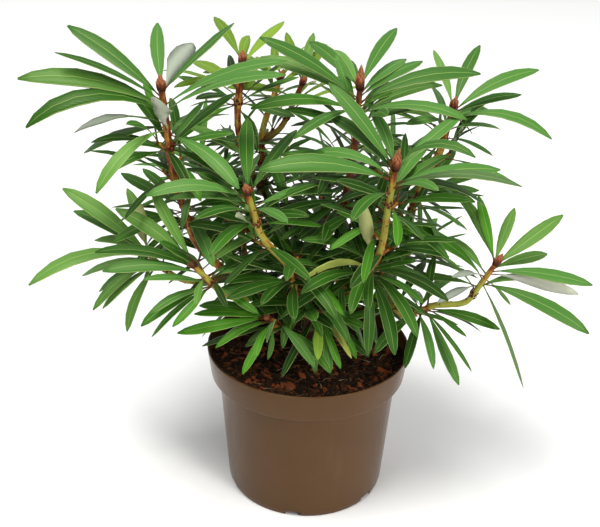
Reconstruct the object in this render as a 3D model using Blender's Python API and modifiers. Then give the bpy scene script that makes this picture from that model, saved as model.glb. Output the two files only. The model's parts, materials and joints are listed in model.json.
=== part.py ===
"""Young rhododendron in a round nursery pot, built as the real plant stands.

The pot is a thin moulded shell, filled with compost. A short stem rises from the compost
and forks into five main boughs. Each bough is one tapering limb that ends where a shoot
begins. Each shoot is one mass of foliage: its stem, its bud and its long narrow leaves.

The frame is in metres, +Z up, with the front at -Y and the origin at the centre of the
pot's underside. Sizes in the tables are in millimetres and angles in degrees.
"""

import math
import random
from collections import namedtuple

import bmesh
import bpy
from mathutils import Matrix, Vector
from mathutils.bvhtree import BVHTree

MM = 0.001
GAP = 0.3 * MM
WELD = 0.002 * MM

# Pot: a 5 litre nursery pot, 230 mm across the rim
POT_HEIGHT = 176.5 * MM
RIM_RADIUS = 115.0 * MM
BAND_HEIGHT = 33.0 * MM
BAND_FOOT_RADIUS = 110.6 * MM
BODY_TOP_RADIUS = 102.0 * MM
BODY_FOOT_RADIUS = 91.8 * MM
BASE_RADIUS = 90.4 * MM
WALL = 2.0 * MM
EDGE = 1.6 * MM
POT_SIDES = 36

# Drain channels under the pot, which open as notches in its bottom edge
CHANNELS = 6
CHANNEL_WIDTH = 18.0 * MM
CHANNEL_HEIGHT = 6.0 * MM
CHANNEL_START = 36.0 * MM
FIRST_CHANNEL = math.radians(-98.6)

# Compost
SOIL_LEVEL = 161.0 * MM
SOIL_EDGE_DROP = 1.5 * MM

# Trunk, from its flat cut on the compost to the fork
FORK = Vector((3.0, 1.0, 207.0)) * MM
FOOT_RADIUS = 11.0 * MM
TRUNK_RADIUS = 8.0 * MM
STUB_LENGTH = 17.0 * MM
STUB_RADIUS = 5.2 * MM
STUB_DIRECTIONS = {
    "left": (-0.80, -0.10, 0.55),
    "front": (-0.12, -0.78, 0.62),
    "right": (0.80, 0.06, 0.60),
    "rear": (-0.22, 0.78, 0.58),
    "centre": (0.22, 0.10, 0.97),
}

# Boughs: where each begins, how far along its parent, and its radius at both ends.
# A bough begins at a stub of the trunk, at the top of a shoot, or on another bough's side.
BOUGH_STEPS = 5
BOUGH_REACH = 0.36
BOUGH_LEAD = 2.0 * MM
BRANCH_LEAN = 0.6
Bough = namedtuple("Bough", "parent along start_radius end_radius shoot")
BOUGHS = {
    "left_bough": Bough("left", None, 5.0, 4.4, "inner_left"),
    "upper_left_bough": Bough("inner_left", None, 4.3, 4.1, "upper_left"),
    "left_front_bough": Bough("left_bough", 0.30, 4.0, 3.5, "left_front"),
    "far_left_bough": Bough("left_bough", 0.52, 3.6, 3.2, "far_left"),
    "front_bough": Bough("front", None, 4.8, 4.2, "front_inner"),
    "centre_left_bough": Bough("front_inner", None, 4.0, 3.5, "centre_left"),
    "low_front_left_bough": Bough("front_bough", 0.45, 3.3, 2.9, "low_front_left"),
    "low_front_bough": Bough("front_bough", 0.30, 3.2, 2.8, "low_front"),
    "right_bough": Bough("right", None, 5.0, 4.4, "right_rear"),
    "upper_right_bough": Bough("right_rear", None, 4.2, 3.9, "upper_right"),
    "right_front_bough": Bough("right_bough", 0.24, 4.0, 3.8, "right_inner"),
    "centre_right_bough": Bough("right_inner", None, 3.7, 3.4, "centre_right"),
    "low_right_bough": Bough("right_bough", 0.42, 3.8, 3.5, "low_right"),
    "far_right_bough": Bough("low_right", None, 3.6, 3.3, "far_right"),
    "rear_bough": Bough("rear", None, 5.0, 4.4, "rear_inner"),
    "back_upper_bough": Bough("rear_inner", None, 3.8, 3.4, "back_upper"),
    "back_centre_bough": Bough("back_upper_bough", 0.16, 3.3, 3.2, "back_centre"),
    "back_left_bough": Bough("rear_bough", 0.72, 4.0, 3.8, "back_left"),
    "centre_bough": Bough("centre", None, 4.8, 4.2, "centre_inner"),
    "upper_centre_bough": Bough("centre_inner", None, 4.0, 3.4, "upper_centre"),
    "rear_left_inner_bough": Bough("left_bough", 0.42, 3.6, 3.2, "rear_left_inner"),
    "rear_middle_inner_bough": Bough("centre_bough", 0.45, 3.4, 3.0, "rear_middle_inner"),
    "rear_left_bough": Bough("rear_bough", 0.48, 3.8, 3.3, "rear_left"),
    "rear_right_bough": Bough("right_bough", 0.58, 3.8, 3.3, "rear_right"),
    "rear_middle_bough": Bough("rear_bough", 0.34, 3.6, 3.2, "rear_middle"),
    "low_rear_left_bough": Bough("rear_bough", 0.22, 3.4, 3.0, "low_rear_left"),
    "low_rear_right_bough": Bough("right_bough", 0.36, 3.4, 3.0, "low_rear_right"),
}

# Shoots. A leaf that shows from the front is (clock, lean, length) or, where it hangs in a
# strong arch, (clock, lean, length, arch). Clock 0 points right and 90 up, as the plant is
# seen from the front, VIEW_RISE above the level. Lean is towards the viewer. The youngest
# leaf comes first. The leaves that don't show follow one whorl rule, unseen in number.
VIEW_RISE = math.radians(25.5)
SEED = 40
Shoot = namedtuple("Shoot", "foot top radius bud seen unseen twigs")
SHOOTS = {
    "upper_left": Shoot((-146, -27, 414), (-151, -30, 476), 4.1, 14, (
        (100, -35, 98), (50, -20, 110), (75, -48, 100), (143, -10, 128), (158, 15, 112),
        (19, 10, 130), (171, 10, 142, 24), (14, 20, 132), (189, 15, 134, 44), (137, -60, 100),
        (341, -30, 90), (181, -30, 122), (191, -35, 122), (228, 25, 100, 36), (323, 25, 104),
        (95, 62, 72)), 2, 0),
    "inner_left": Shoot((-131, -8, 322), (-136, -12, 345), 4.3, 0, (
        (153, -20, 86), (139, -35, 84), (8, 10, 84), (350, 25, 80), (20, -35, 86),
        (205, 10, 82)), 9, 0),
    "centre_left": Shoot((-55, -77, 354), (-64, -80, 388), 3.5, 10, (
        (94, -38, 106), (59, -36, 108), (180, 10, 100, 26), (161, -50, 82), (175, -25, 95),
        (14, -25, 96), (340, 58, 70), (190, 48, 78)), 2, 0),
    "front_inner": Shoot((-15, -50, 268), (-19, -57, 288), 4.0, 0, (
        (163, 20, 74), (318, 45, 84, 40), (190, 10, 74), (200, 30, 60)), 9, 0),
    "back_left": Shoot((-83, 74, 434), (-79, 80, 478), 4.2, 12, (
        (120, -38, 92), (55, -35, 94), (85, -50, 82), (165, -50, 76), (182, -40, 82),
        (190, 20, 74)), 4, 0),
    "back_centre": Shoot((-30, 103, 410), (-13, 105, 449), 3.2, 10, (
        (106, -35, 88), (79, -30, 84), (64, -35, 88), (335, 40, 50), (176, 20, 80)), 4, 0),
    "back_upper": Shoot((-50, 117, 416), (-38, 122, 450), 3.4, 10, (
        (100, -40, 66), (140, -30, 74), (40, -40, 70)), 6, 0),
    "rear_inner": Shoot((-57, 96, 356), (-58, 101, 378), 4.2, 0, (), 13, 0),
    "upper_centre": Shoot((44, 1, 432), (45, 0, 474), 3.4, 22, (
        (61, -35, 106), (129, -40, 106), (112, -50, 98), (98, -55, 88), (44, -40, 98),
        (36, -35, 108), (150, 5, 118), (155, -10, 114), (15, 0, 128, 24), (32, -45, 100),
        (20, -25, 108), (5, -48, 90), (209, 35, 90, 28), (181, 15, 112, 30),
        (356, 20, 112, 30)), 3, 0),
    "centre_inner": Shoot((33, 10, 326), (36, 8, 352), 4.0, 0, (
        (215, 20, 88), (240, 25, 84), (195, 30, 90), (260, 15, 80), (170, -20, 86),
        (290, 20, 78)), 10, 0),
    "centre_right": Shoot((74, -76, 378), (78, -80, 417), 3.4, 20, (
        (107, -38, 84), (127, -10, 110), (137, -25, 102), (43, -15, 98), (12, 35, 86, 55),
        (165, -20, 97, 34), (177, 5, 130, 20), (165, -15, 118), (10, -10, 112), (1, 5, 124, 24),
        (353, 55, 66), (354, -20, 105, 34), (217, 50, 80), (187, -50, 80)), 2, 0),
    "right_inner": Shoot((56, -56, 285), (64, -61, 305), 3.7, 0, (
        (105, 45, 66), (162, 10, 80, 28), (260, 50, 68), (25, -20, 85), (52, -30, 82),
        (12, -45, 80), (190, 20, 74, 36), (339, 15, 86, 26), (305, 25, 88, 24),
        (287, 10, 90), (270, 5, 86)), 6, 0),
    "upper_right": Shoot((139, 30, 410), (146, 30, 446), 3.9, 12, (
        (101, -35, 90), (66, -25, 95), (28, -10, 110), (20, -25, 98), (345, -60, 72),
        (349, 5, 108, 34), (18, -45, 86), (190, 40, 66), (162, -20, 66), (150, -40, 70)), 4, 0),
    "right_rear": Shoot((110, 29, 328), (117, 30, 350), 4.2, 0, (
        (6, -30, 86), (355, -20, 72), (50, -30, 85), (20, 15, 80)), 10, 0),
    "far_right": Shoot((176, -28, 255), (199, -20, 290), 3.3, 12, (
        (114, -20, 85), (101, -15, 80), (65, -30, 85), (37, -10, 102), (15, -35, 95),
        (354, 0, 112), (349, -15, 112), (131, -45, 80), (180, 45, 62), (321, -30, 52),
        (152, 5, 120, 34), (290, 15, 120, 10), (336, 10, 124), (200, 30, 76),
        (172, -30, 85)), 2, 0),
    "low_right": Shoot((112, -29, 231), (128, -30, 240), 3.6, 0, (
        (80, -20, 62), (345, 5, 82), (326, 20, 54), (295, 5, 90), (250, 25, 72, 26)), 7, 0),
    "left_front": Shoot((-100, -76, 286), (-119, -80, 309), 3.4, 8, (
        (121, -15, 95), (65, -35, 80), (145, -5, 104), (139, 55, 72), (35, -20, 82),
        (170, 0, 110, 30), (179, 10, 100), (262, 55, 48), (20, -40, 54)), 2, 0),
    "far_left": Shoot((-158, -4, 266), (-179, 0, 284), 3.2, 8, (
        (92, 50, 78), (113, -25, 90), (144, -5, 124), (152, -20, 115), (194, 15, 134, 34),
        (193, -25, 100), (221, 15, 86), (207, -20, 82), (248, 10, 82), (220, 10, 78)), 2, 0),
    "low_front_left": Shoot((-30, -60, 232), (-43, -71, 245), 2.9, 6, (
        (190, 5, 96), (178, -10, 82), (172, -25, 88), (207, 15, 66), (247, 45, 55),
        (241, 20, 66), (262, 20, 42), (314, 30, 70, 28), (205, -30, 84)), 2, 0),
    "low_front": Shoot((8, -45, 232), (10, -61, 248), 2.8, 6, (
        (268, 40, 60), (307, 20, 60), (19, -10, 62), (293, 10, 62), (283, 10, 62),
        (312, -10, 64), (268, 5, 62)), 3, 0),
    "rear_left_inner": Shoot((-80, 45, 300), (-88, 50, 326), 3.2, 8, (), 11, 0),
    "rear_middle_inner": Shoot((10, 50, 300), (12, 56, 328), 3.0, 8, (), 11, 0),
    "rear_left": Shoot((-118, 105, 318), (-130, 116, 346), 3.3, 10, (), 12, 2),
    "rear_right": Shoot((88, 105, 325), (98, 118, 353), 3.3, 10, (), 12, 2),
    "rear_middle": Shoot((20, 135, 300), (24, 152, 324), 3.2, 10, (), 12, 2),
    "low_rear_left": Shoot((-88, 100, 232), (-102, 114, 246), 3.0, 8, (), 10, 1),
    "low_rear_right": Shoot((108, 92, 232), (122, 104, 247), 3.0, 8, (), 10, 1),
}

# Side twigs of a shoot, each with a few leaves of its own
TWIG_LENGTH = 30.0 * MM
TWIG_RISE = math.radians(35.0)
TWIG_LEAVES = 4
TWIG_LEAF_LENGTH = 73.0 * MM

# Leaves: lance-shaped blades with a keel below, their roots sunk past the stem's middle.
# A blade's half width is a share of its length, given at two stations along it.
ROOT_DEPTH = 1.4 * MM
BARE_FOOT = 6.0 * MM
BLADE_HALF = 0.078
BLADE_THICKNESS = 1.6 * MM
BLADE_STATIONS = ((0.32, 1.0), (0.74, 0.84))
YOUNG_ARCH = math.radians(8.0)
OLD_ARCH = math.radians(24.0)
GOLDEN_ANGLE = math.radians(137.5)
TRY_ANGLES = (0, 5, -5, 10, -10, 15, -15, 20, -20)
CLEARANCE = 0.9 * MM

COLOURS = {
    "pot": ((0.105, 0.062, 0.036), 0.42),
    "soil": ((0.026, 0.013, 0.007), 0.95),
    "bark": ((0.190, 0.075, 0.030), 0.60),
    "foliage": ((0.055, 0.190, 0.030), 0.45),
}

Leaf = namedtuple("Leaf", "base chord arch roll half")


def clear_scene():
    for item in list(bpy.data.objects):
        bpy.data.objects.remove(item, do_unlink=True)


def new_collection(name):
    collection = bpy.data.collections.new(name)
    bpy.context.scene.collection.children.link(collection)
    return collection


def new_material(name):
    colour, roughness = COLOURS[name]
    material = bpy.data.materials.new(name)
    material.use_nodes = True
    shader = material.node_tree.nodes["Principled BSDF"]
    shader.inputs["Base Color"].default_value = (*colour, 1.0)
    shader.inputs["Roughness"].default_value = roughness
    shader.inputs["Metallic"].default_value = 0.0
    return material


def new_object(name, mesh, collection, material=None):
    item = bpy.data.objects.new(name, mesh)
    collection.objects.link(item)
    if material:
        mesh.materials.clear()
        mesh.materials.append(material)
    return item


def evaluated_mesh(item):
    """A plain mesh of an object with its modifiers applied."""
    depsgraph = bpy.context.evaluated_depsgraph_get()
    return bpy.data.meshes.new_from_object(item.evaluated_get(depsgraph))


def turned(name, outline, collection, material):
    """A round piece: its outline from the top of the outer side, turned about Z."""
    mesh = bpy.data.meshes.new(name)
    shape = bmesh.new()
    corners = [shape.verts.new((radius, 0.0, height)) for radius, height in outline]
    for one, other in zip(corners, corners[1:]):
        shape.edges.new((one, other))
    shape.to_mesh(mesh)
    shape.free()
    item = new_object(name, mesh, collection, material)
    screw = item.modifiers.new("Turn", "SCREW")
    screw.steps = POT_SIDES
    screw.render_steps = POT_SIDES
    screw.use_merge_vertices = True
    screw.merge_threshold = 0.0001
    screw.use_smooth_shade = True
    return item


def box(name, low, high, turn, collection):
    """A box between two corners, turned about Z."""
    bpy.ops.mesh.primitive_cube_add(size=1.0)
    item = bpy.context.object
    item.name = name
    low, high = Vector(low), Vector(high)
    size = Matrix.Diagonal((high - low).to_4d())
    item.data.transform(Matrix.Rotation(turn, 4, "Z") @ Matrix.Translation((low + high) / 2) @ size)
    for holder in list(item.users_collection):
        holder.objects.unlink(item)
    collection.objects.link(item)
    return item


def radial_boxes(name, start, end, width, bottom, top, collection):
    """One box over each drain channel, from radius start to radius end."""
    for index in range(CHANNELS):
        turn = FIRST_CHANNEL + index * math.tau / CHANNELS
        low, high = (start, -width / 2, bottom), (end, width / 2, top)
        cutter = box(f"{name}_{index + 1}", low, high, turn, collection)
        cutter.hide_render = True
        cutter.display_type = "WIRE"


def add_boolean(item, operation, collection):
    step = item.modifiers.new(operation.title(), "BOOLEAN")
    step.operation = operation
    step.operand_type = "COLLECTION"
    step.collection = collection
    step.solver = "EXACT"


def inner_outline():
    """The inside of the pot's wall, from the rim down to the floor."""
    band_foot = POT_HEIGHT - BAND_HEIGHT
    return [
        (RIM_RADIUS - WALL, POT_HEIGHT - EDGE / 2),
        (BAND_FOOT_RADIUS - WALL, band_foot + WALL),
        (BODY_TOP_RADIUS - WALL, band_foot - WALL),
        (BODY_FOOT_RADIUS - WALL, 4 * EDGE),
        (BASE_RADIUS - WALL - EDGE / 2, WALL),
    ]


def make_pot(collection, cutters, material):
    band_foot = POT_HEIGHT - BAND_HEIGHT
    outer = [
        (RIM_RADIUS - EDGE / 2, POT_HEIGHT),
        (RIM_RADIUS, POT_HEIGHT - EDGE / 2),
        (RIM_RADIUS - EDGE / 4, POT_HEIGHT - 2 * EDGE),
        (BAND_FOOT_RADIUS, band_foot + EDGE),
        (BAND_FOOT_RADIUS - EDGE, band_foot),
        (BODY_TOP_RADIUS, band_foot - EDGE),
        (BODY_FOOT_RADIUS, 4 * EDGE),
        (BASE_RADIUS + EDGE / 4, EDGE / 2),
        (BASE_RADIUS - EDGE / 2, 0.0),
        (0.0, 0.0),
    ]
    inside = inner_outline()
    lip = (RIM_RADIUS - WALL + EDGE / 2, POT_HEIGHT)
    outline = [(0.0, WALL)] + inside[::-1] + [lip] + outer
    pot = turned("pot", outline, collection, material)
    hats = bpy.data.collections.new("Channel_roofs")
    cutters.children.link(hats)
    hat_end = BASE_RADIUS - WALL + EDGE / 4
    hat_top = CHANNEL_HEIGHT + WALL
    hat_width = CHANNEL_WIDTH + 2 * WALL
    radial_boxes("roof", CHANNEL_START - WALL, hat_end, hat_width, WALL / 2, hat_top, hats)
    add_boolean(pot, "UNION", hats)
    channels = bpy.data.collections.new("Channels")
    cutters.children.link(channels)
    radial_boxes("channel", CHANNEL_START, RIM_RADIUS, CHANNEL_WIDTH, -WALL, CHANNEL_HEIGHT, channels)
    add_boolean(pot, "DIFFERENCE", channels)
    return pot


def make_soil(collection, cutters, material):
    """The compost fills the pot, GAP clear of its wall, its floor and the channel roofs."""
    wall = [(radius - GAP, height + GAP) for radius, height in inner_outline()]
    rim, shelf = wall[0], wall[1]
    edge_level = SOIL_LEVEL - SOIL_EDGE_DROP
    share = (edge_level - shelf[1]) / (rim[1] - shelf[1])
    edge = (shelf[0] + share * (rim[0] - shelf[0]), edge_level)
    outline = [(0.0, SOIL_LEVEL), (0.6 * edge[0], SOIL_LEVEL), edge] + wall[1:] + [(0.0, WALL + GAP)]
    soil = turned("soil", outline, collection, material)
    roofs = bpy.data.collections.new("Soil_over_roofs")
    cutters.children.link(roofs)
    start = CHANNEL_START - WALL - GAP
    width = CHANNEL_WIDTH + 2 * WALL + 2 * GAP
    top = CHANNEL_HEIGHT + WALL + GAP
    radial_boxes("over_roof", start, RIM_RADIUS, width, 0.0, top, roofs)
    add_boolean(soil, "DIFFERENCE", roofs)
    return soil


def tube(name, points, radii, sides, collection, material=None):
    """A round limb along points, as a mesh with closed ends."""
    curve = bpy.data.curves.new(name, "CURVE")
    curve.dimensions = "3D"
    curve.bevel_depth = 1.0
    curve.bevel_resolution = sides // 2 - 2
    curve.use_fill_caps = True
    spline = curve.splines.new("POLY")
    spline.points.add(len(points) - 1)
    for knot, point, radius in zip(spline.points, points, radii):
        knot.co = (*point, 1.0)
        knot.radius = radius
    drawn = new_object(name, curve, collection)
    mesh = evaluated_mesh(drawn)
    bpy.data.objects.remove(drawn)
    shape = bmesh.new()
    shape.from_mesh(mesh)
    bmesh.ops.remove_doubles(shape, verts=shape.verts, dist=WELD)
    bmesh.ops.recalc_face_normals(shape, faces=shape.faces)
    shape.to_mesh(mesh)
    shape.free()
    return new_object(name, mesh, collection, material)


def unite(item, pieces):
    """Join a collection of pieces to an object, keep its one outer skin, drop the pieces."""
    add_boolean(item, "UNION", pieces)
    mesh = evaluated_mesh(item)
    item.modifiers.clear()
    item.data = mesh
    for piece in list(pieces.objects):
        bpy.data.objects.remove(piece)
    bpy.data.collections.remove(pieces)
    shape = bmesh.new()
    shape.from_mesh(mesh)
    bmesh.ops.remove_doubles(shape, verts=shape.verts, dist=WELD)
    bmesh.ops.dissolve_degenerate(shape, edges=shape.edges, dist=WELD)
    largest = max(skins(shape), key=len)
    bmesh.ops.delete(shape, geom=[face for face in shape.faces if face not in largest], context="FACES")
    bmesh.ops.holes_fill(shape, edges=[edge for edge in shape.edges if edge.is_boundary])
    bmesh.ops.triangulate(shape, faces=shape.faces)
    shape.to_mesh(mesh)
    shape.free()


def skins(shape):
    """The separate skins of a mesh, each as a set of faces."""
    left = set(shape.faces)
    found = []
    while left:
        skin = set()
        edge_of = [left.pop()]
        while edge_of:
            face = edge_of.pop()
            skin.add(face)
            joints = [edge for edge in face.edges if len(edge.link_faces) == 2]
            near = {other for edge in joints for other in edge.link_faces} & left
            left -= near
            edge_of.extend(near)
        found.append(skin)
    return found


def make_trunk(collection, material):
    """The stem flares at its flat foot, leans to the fork and ends in a stub for each bough."""
    foot = SOIL_LEVEL + GAP
    flare = ((0.0, 1.0), (0.06, 0.55), (0.18, 0.25), (0.45, 0.08), (1.0, 0.0))
    points = []
    for share, _ in flare:
        lean = share * share
        points.append(Vector((FORK.x * lean, FORK.y * lean, foot + share * (FORK.z - foot))))
    radii = [TRUNK_RADIUS + spread * (FOOT_RADIUS - TRUNK_RADIUS) for _, spread in flare]
    points.append(FORK + Vector((0.0, 0.0, TRUNK_RADIUS / 2)))
    radii.append(TRUNK_RADIUS / 2)
    trunk = tube("trunk", points, radii, 12, collection, material)
    stubs = bpy.data.collections.new("Stubs")
    bpy.context.scene.collection.children.link(stubs)
    for name, direction in STUB_DIRECTIONS.items():
        end = FORK + Vector(direction).normalized() * STUB_LENGTH
        tube(f"stub_{name}", [FORK, end], [1.1 * STUB_RADIUS, STUB_RADIUS], 10, stubs)
    unite(trunk, stubs)
    return trunk


def bezier(start, leave, arrive, end, share):
    """A point at share of the way along a cubic curve."""
    near = start.lerp(leave, share)
    middle = leave.lerp(arrive, share)
    far = arrive.lerp(end, share)
    return near.lerp(middle, share).lerp(middle.lerp(far, share), share)


def bough_route(name, routes, closer=0.0):
    """The points of a bough, from what carries it to the foot of its shoot.

    A side bough can start closer to its parent than the parent's full radius allows.
    """
    bough = BOUGHS[name]
    shoot = SHOOTS[bough.shoot]
    foot, top = Vector(shoot.foot) * MM, Vector(shoot.top) * MM
    arrival = (top - foot).normalized()
    end = foot - arrival * GAP
    if bough.parent in STUB_DIRECTIONS:
        leaving = Vector(STUB_DIRECTIONS[bough.parent]).normalized()
        start = FORK + leaving * (STUB_LENGTH + GAP)
    elif bough.parent in SHOOTS:
        carrier = SHOOTS[bough.parent]
        leaving = (Vector(carrier.top) - Vector(carrier.foot)).normalized()
        start = Vector(carrier.top) * MM + leaving * GAP
    else:
        route = routes[bough.parent]
        place = bough.along * (len(route) - 1)
        index = int(place)
        seat = route[index].lerp(route[index + 1], place - index)
        along = (route[index + 1] - route[index]).normalized()
        across = end - seat
        across = (across - along * across.dot(along)).normalized()
        leaving = (across + BRANCH_LEAN * along).normalized()
        parent = BOUGHS[bough.parent]
        thick = parent.start_radius + bough.along * (parent.end_radius - parent.start_radius)
        slant = leaving.dot(along)
        reach = (thick * MM + GAP + bough.start_radius * MM * slant) / math.sqrt(1 - slant * slant)
        start = seat + leaving * (reach - closer)
    first, last = start + leaving * BOUGH_LEAD, end - arrival * BOUGH_LEAD
    handle = BOUGH_REACH * (last - first).length
    leave, arrive = first + leaving * handle, last - arrival * handle
    bend = [bezier(first, leave, arrive, last, step / BOUGH_STEPS) for step in range(BOUGH_STEPS + 1)]
    return [start] + bend + [end]


def bough_tube(name, route, collection, material):
    bough = BOUGHS[name]
    spread = (bough.end_radius - bough.start_radius) / (len(route) - 1)
    radii = [(bough.start_radius + step * spread) * MM for step in range(len(route))]
    return tube(name, route, radii, 6, collection, material)


def clear_distance(limb, tree):
    """The least distance from a limb's corners and edges to another piece."""
    corners = [vertex.co for vertex in limb.data.vertices]
    middles = [(corners[one] + corners[other]) / 2 for one, other in limb.data.edge_keys]
    return min(tree.find_nearest(point)[3] for point in corners + middles)


def make_boughs(collection, material):
    """Every bough in turn. A side bough is drawn again, moved to GAP from its parent."""
    routes, made = {}, {}
    for name, bough in BOUGHS.items():
        routes[name] = bough_route(name, routes)
        made[name] = bough_tube(name, routes[name], collection, material)
        if bough.parent in BOUGHS:
            spare = clear_distance(made[name], tree_of(made[bough.parent].data)) - GAP
            bpy.data.objects.remove(made[name])
            routes[name] = bough_route(name, routes, spare)
            made[name] = bough_tube(name, routes[name], collection, material)
    return list(made.values())


def view_direction(clock, lean):
    """A direction given as it looks from the front: clock in the view, lean out of it."""
    clock, lean = math.radians(clock), math.radians(lean)
    up = Vector((0.0, math.sin(VIEW_RISE), math.cos(VIEW_RISE)))
    front = Vector((0.0, -math.cos(VIEW_RISE), math.sin(VIEW_RISE)))
    across = Vector((1.0, 0.0, 0.0)) * math.cos(clock) + up * math.sin(clock)
    return across * math.cos(lean) + front * math.sin(lean)


def level_direction(bearing, rise):
    return Vector((math.cos(bearing) * math.cos(rise), math.sin(bearing) * math.cos(rise), math.sin(rise)))


def shoot_twigs(shoot, rng):
    """The stem and the side twigs of a shoot, each as its foot and its top."""
    foot, top = Vector(shoot.foot) * MM, Vector(shoot.top) * MM
    twigs = [(foot, top)]
    turn = rng.uniform(0.0, math.tau)
    for index in range(shoot.twigs):
        bearing = turn + index * GOLDEN_ANGLE
        reach = rng.uniform(0.9, 1.1) * TWIG_LENGTH
        start = foot.lerp(top, 0.3 + 0.2 * index)
        twigs.append((start, start + level_direction(bearing, TWIG_RISE) * reach))
    return twigs


def shoot_leaves(shoot, twigs, rng):
    """All leaves of a shoot, the youngest at the top of its stem and the oldest near its foot."""
    foot, top = twigs[0]
    count = len(shoot.seen) + shoot.unseen
    leafy = (top - foot) * (1.0 - BARE_FOOT / (top - foot).length)
    turn = rng.uniform(0.0, math.tau)
    leaves = []
    for index in range(count):
        age = index / (count - 1)
        arch = YOUNG_ARCH + age * (OLD_ARCH - YOUNG_ARCH) + math.radians(rng.uniform(-3.0, 5.0))
        roll = math.radians(rng.gauss(0.0, 9.0))
        half = BLADE_HALF * rng.uniform(0.92, 1.08)
        bearing = turn + index * GOLDEN_ANGLE
        if index < len(shoot.seen):
            clock, lean, length, *strong_arch = shoot.seen[index]
            direction = view_direction(clock, lean)
            arch = math.radians(strong_arch[0]) if strong_arch else arch
        elif not shoot.bud:
            # an old whorl inside the crown, its leaves level or hanging
            rise = math.radians(rng.uniform(-42.0, 16.0))
            length = rng.uniform(72.0, 92.0)
            direction = level_direction(bearing, rise)
        elif shoot.seen:
            # the far side of a whorl that shows its near side
            bearing = math.radians(10.0 + 160.0 * ((index * 0.618 + turn) % 1.0))
            rise = math.radians(rng.uniform(-8.0, 22.0))
            length = rng.uniform(80.0, 100.0)
            direction = level_direction(bearing, rise)
        else:
            # a whorl out of sight: young leaves stand up, old ones spread
            rise = math.radians(52.0 - 62.0 * age + rng.uniform(-6.0, 6.0))
            length = 72.0 + 30.0 * age + rng.uniform(-6.0, 6.0)
            direction = level_direction(bearing, rise)
        leaves.append(Leaf(top - leafy * age, direction * length * MM, arch, roll, half))
    for start, end in twigs[1:]:
        for index in range(TWIG_LEAVES):
            rise = math.radians(40.0 - 12.0 * index + rng.uniform(-6.0, 6.0))
            direction = level_direction(turn + index * GOLDEN_ANGLE, rise)
            chord = direction * rng.uniform(0.88, 1.12) * TWIG_LEAF_LENGTH
            base = end.lerp(start, 0.03 + index / (TWIG_LEAVES + 1))
            leaves.append(Leaf(base, chord, YOUNG_ARCH, 0.0, BLADE_HALF))
    return leaves


def leaf_section(leaf, share):
    """The midrib point of an arched leaf, with its side and upward directions there."""
    length = leaf.chord.length
    along = leaf.chord / length
    level = Vector((along.x, along.y, 0.0)).normalized()
    above = (Vector((0.0, 0.0, 1.0)) * level.length - along * along.z).normalized()
    arch = leaf.arch
    turn = arch * (2.0 * share - 1.0)
    forward = length * (math.sin(turn) + math.sin(arch)) / (2.0 * math.sin(arch))
    rise = length * (math.cos(turn) - math.cos(arch)) / (2.0 * math.sin(arch))
    point = leaf.base + along * forward + above * rise
    side = along.cross(above)
    normal = above * math.cos(turn) + along * math.sin(turn)
    return (
        point,
        side * math.cos(leaf.roll) + normal * math.sin(leaf.roll),
        normal * math.cos(leaf.roll) - side * math.sin(leaf.roll),
    )


def leaf_mesh(leaf, swell=0.0):
    """A closed blade: root, two three-sided sections and tip, swollen to test its room."""
    shape = bmesh.new()
    length = leaf.chord.length
    rings = []
    for share, wide in BLADE_STATIONS:
        point, side, normal = leaf_section(leaf, share)
        across = side * (wide * leaf.half * length + swell)
        face = point + normal * swell
        keel = point - normal * (BLADE_THICKNESS + swell)
        rings.append([shape.verts.new(corner) for corner in (face + across, keel, face - across)])
    root = shape.verts.new(leaf_section(leaf, -ROOT_DEPTH / length)[0])
    tip = shape.verts.new(leaf_section(leaf, 1.0 + swell / length)[0])
    near, far = rings
    for one, other in ((0, 1), (1, 2), (2, 0)):
        shape.faces.new((root, near[one], near[other]))
        shape.faces.new((near[one], far[one], far[other]))
        shape.faces.new((near[one], far[other], near[other]))
        shape.faces.new((far[one], tip, far[other]))
    bmesh.ops.recalc_face_normals(shape, faces=shape.faces)
    mesh = bpy.data.meshes.new("leaf")
    shape.to_mesh(mesh)
    shape.free()
    return mesh


def tree_of(mesh):
    """A search tree over a mesh, to test it against others."""
    corners = [vertex.co for vertex in mesh.vertices]
    return BVHTree.FromPolygons(corners, [tuple(face.vertices) for face in mesh.polygons])


def clear_leaf(leaf, others):
    """The leaf turned a little, if it must be, so that it touches nothing of another piece."""
    for angle in TRY_ANGLES:
        for axis in (Vector((0.0, 0.0, 1.0)), leaf.chord.cross(Vector((0.0, 0.0, 1.0))).normalized()):
            turned_chord = Matrix.Rotation(math.radians(angle), 3, axis) @ leaf.chord
            tried = leaf._replace(chord=turned_chord)
            swollen = leaf_mesh(tried, CLEARANCE)
            tree = tree_of(swollen)
            bpy.data.meshes.remove(swollen)
            if not any(tree.overlap(other) for other in others):
                return tried
    return None


def stem_meshes(name, shoot, twigs, pieces, collection, material):
    """The shoot's stem, with its bud and side twigs beside it in the collection of pieces."""
    foot, top = twigs[0]
    radius = shoot.radius * MM
    stem = tube(name, [foot, top], [radius, radius], 6, collection, material)
    axis = (top - foot).normalized()
    if shoot.bud:
        tip = top + axis * shoot.bud * MM
        bud_points = [top - axis * radius, top.lerp(tip, 0.35), tip]
        tube("bud", bud_points, [radius * 0.7, radius * 1.1, radius * 0.15], 6, pieces)
    for start, end in twigs[1:]:
        tube("twig", [start, end], [radius * 0.85, radius * 0.75], 4, pieces)
    return stem


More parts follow.
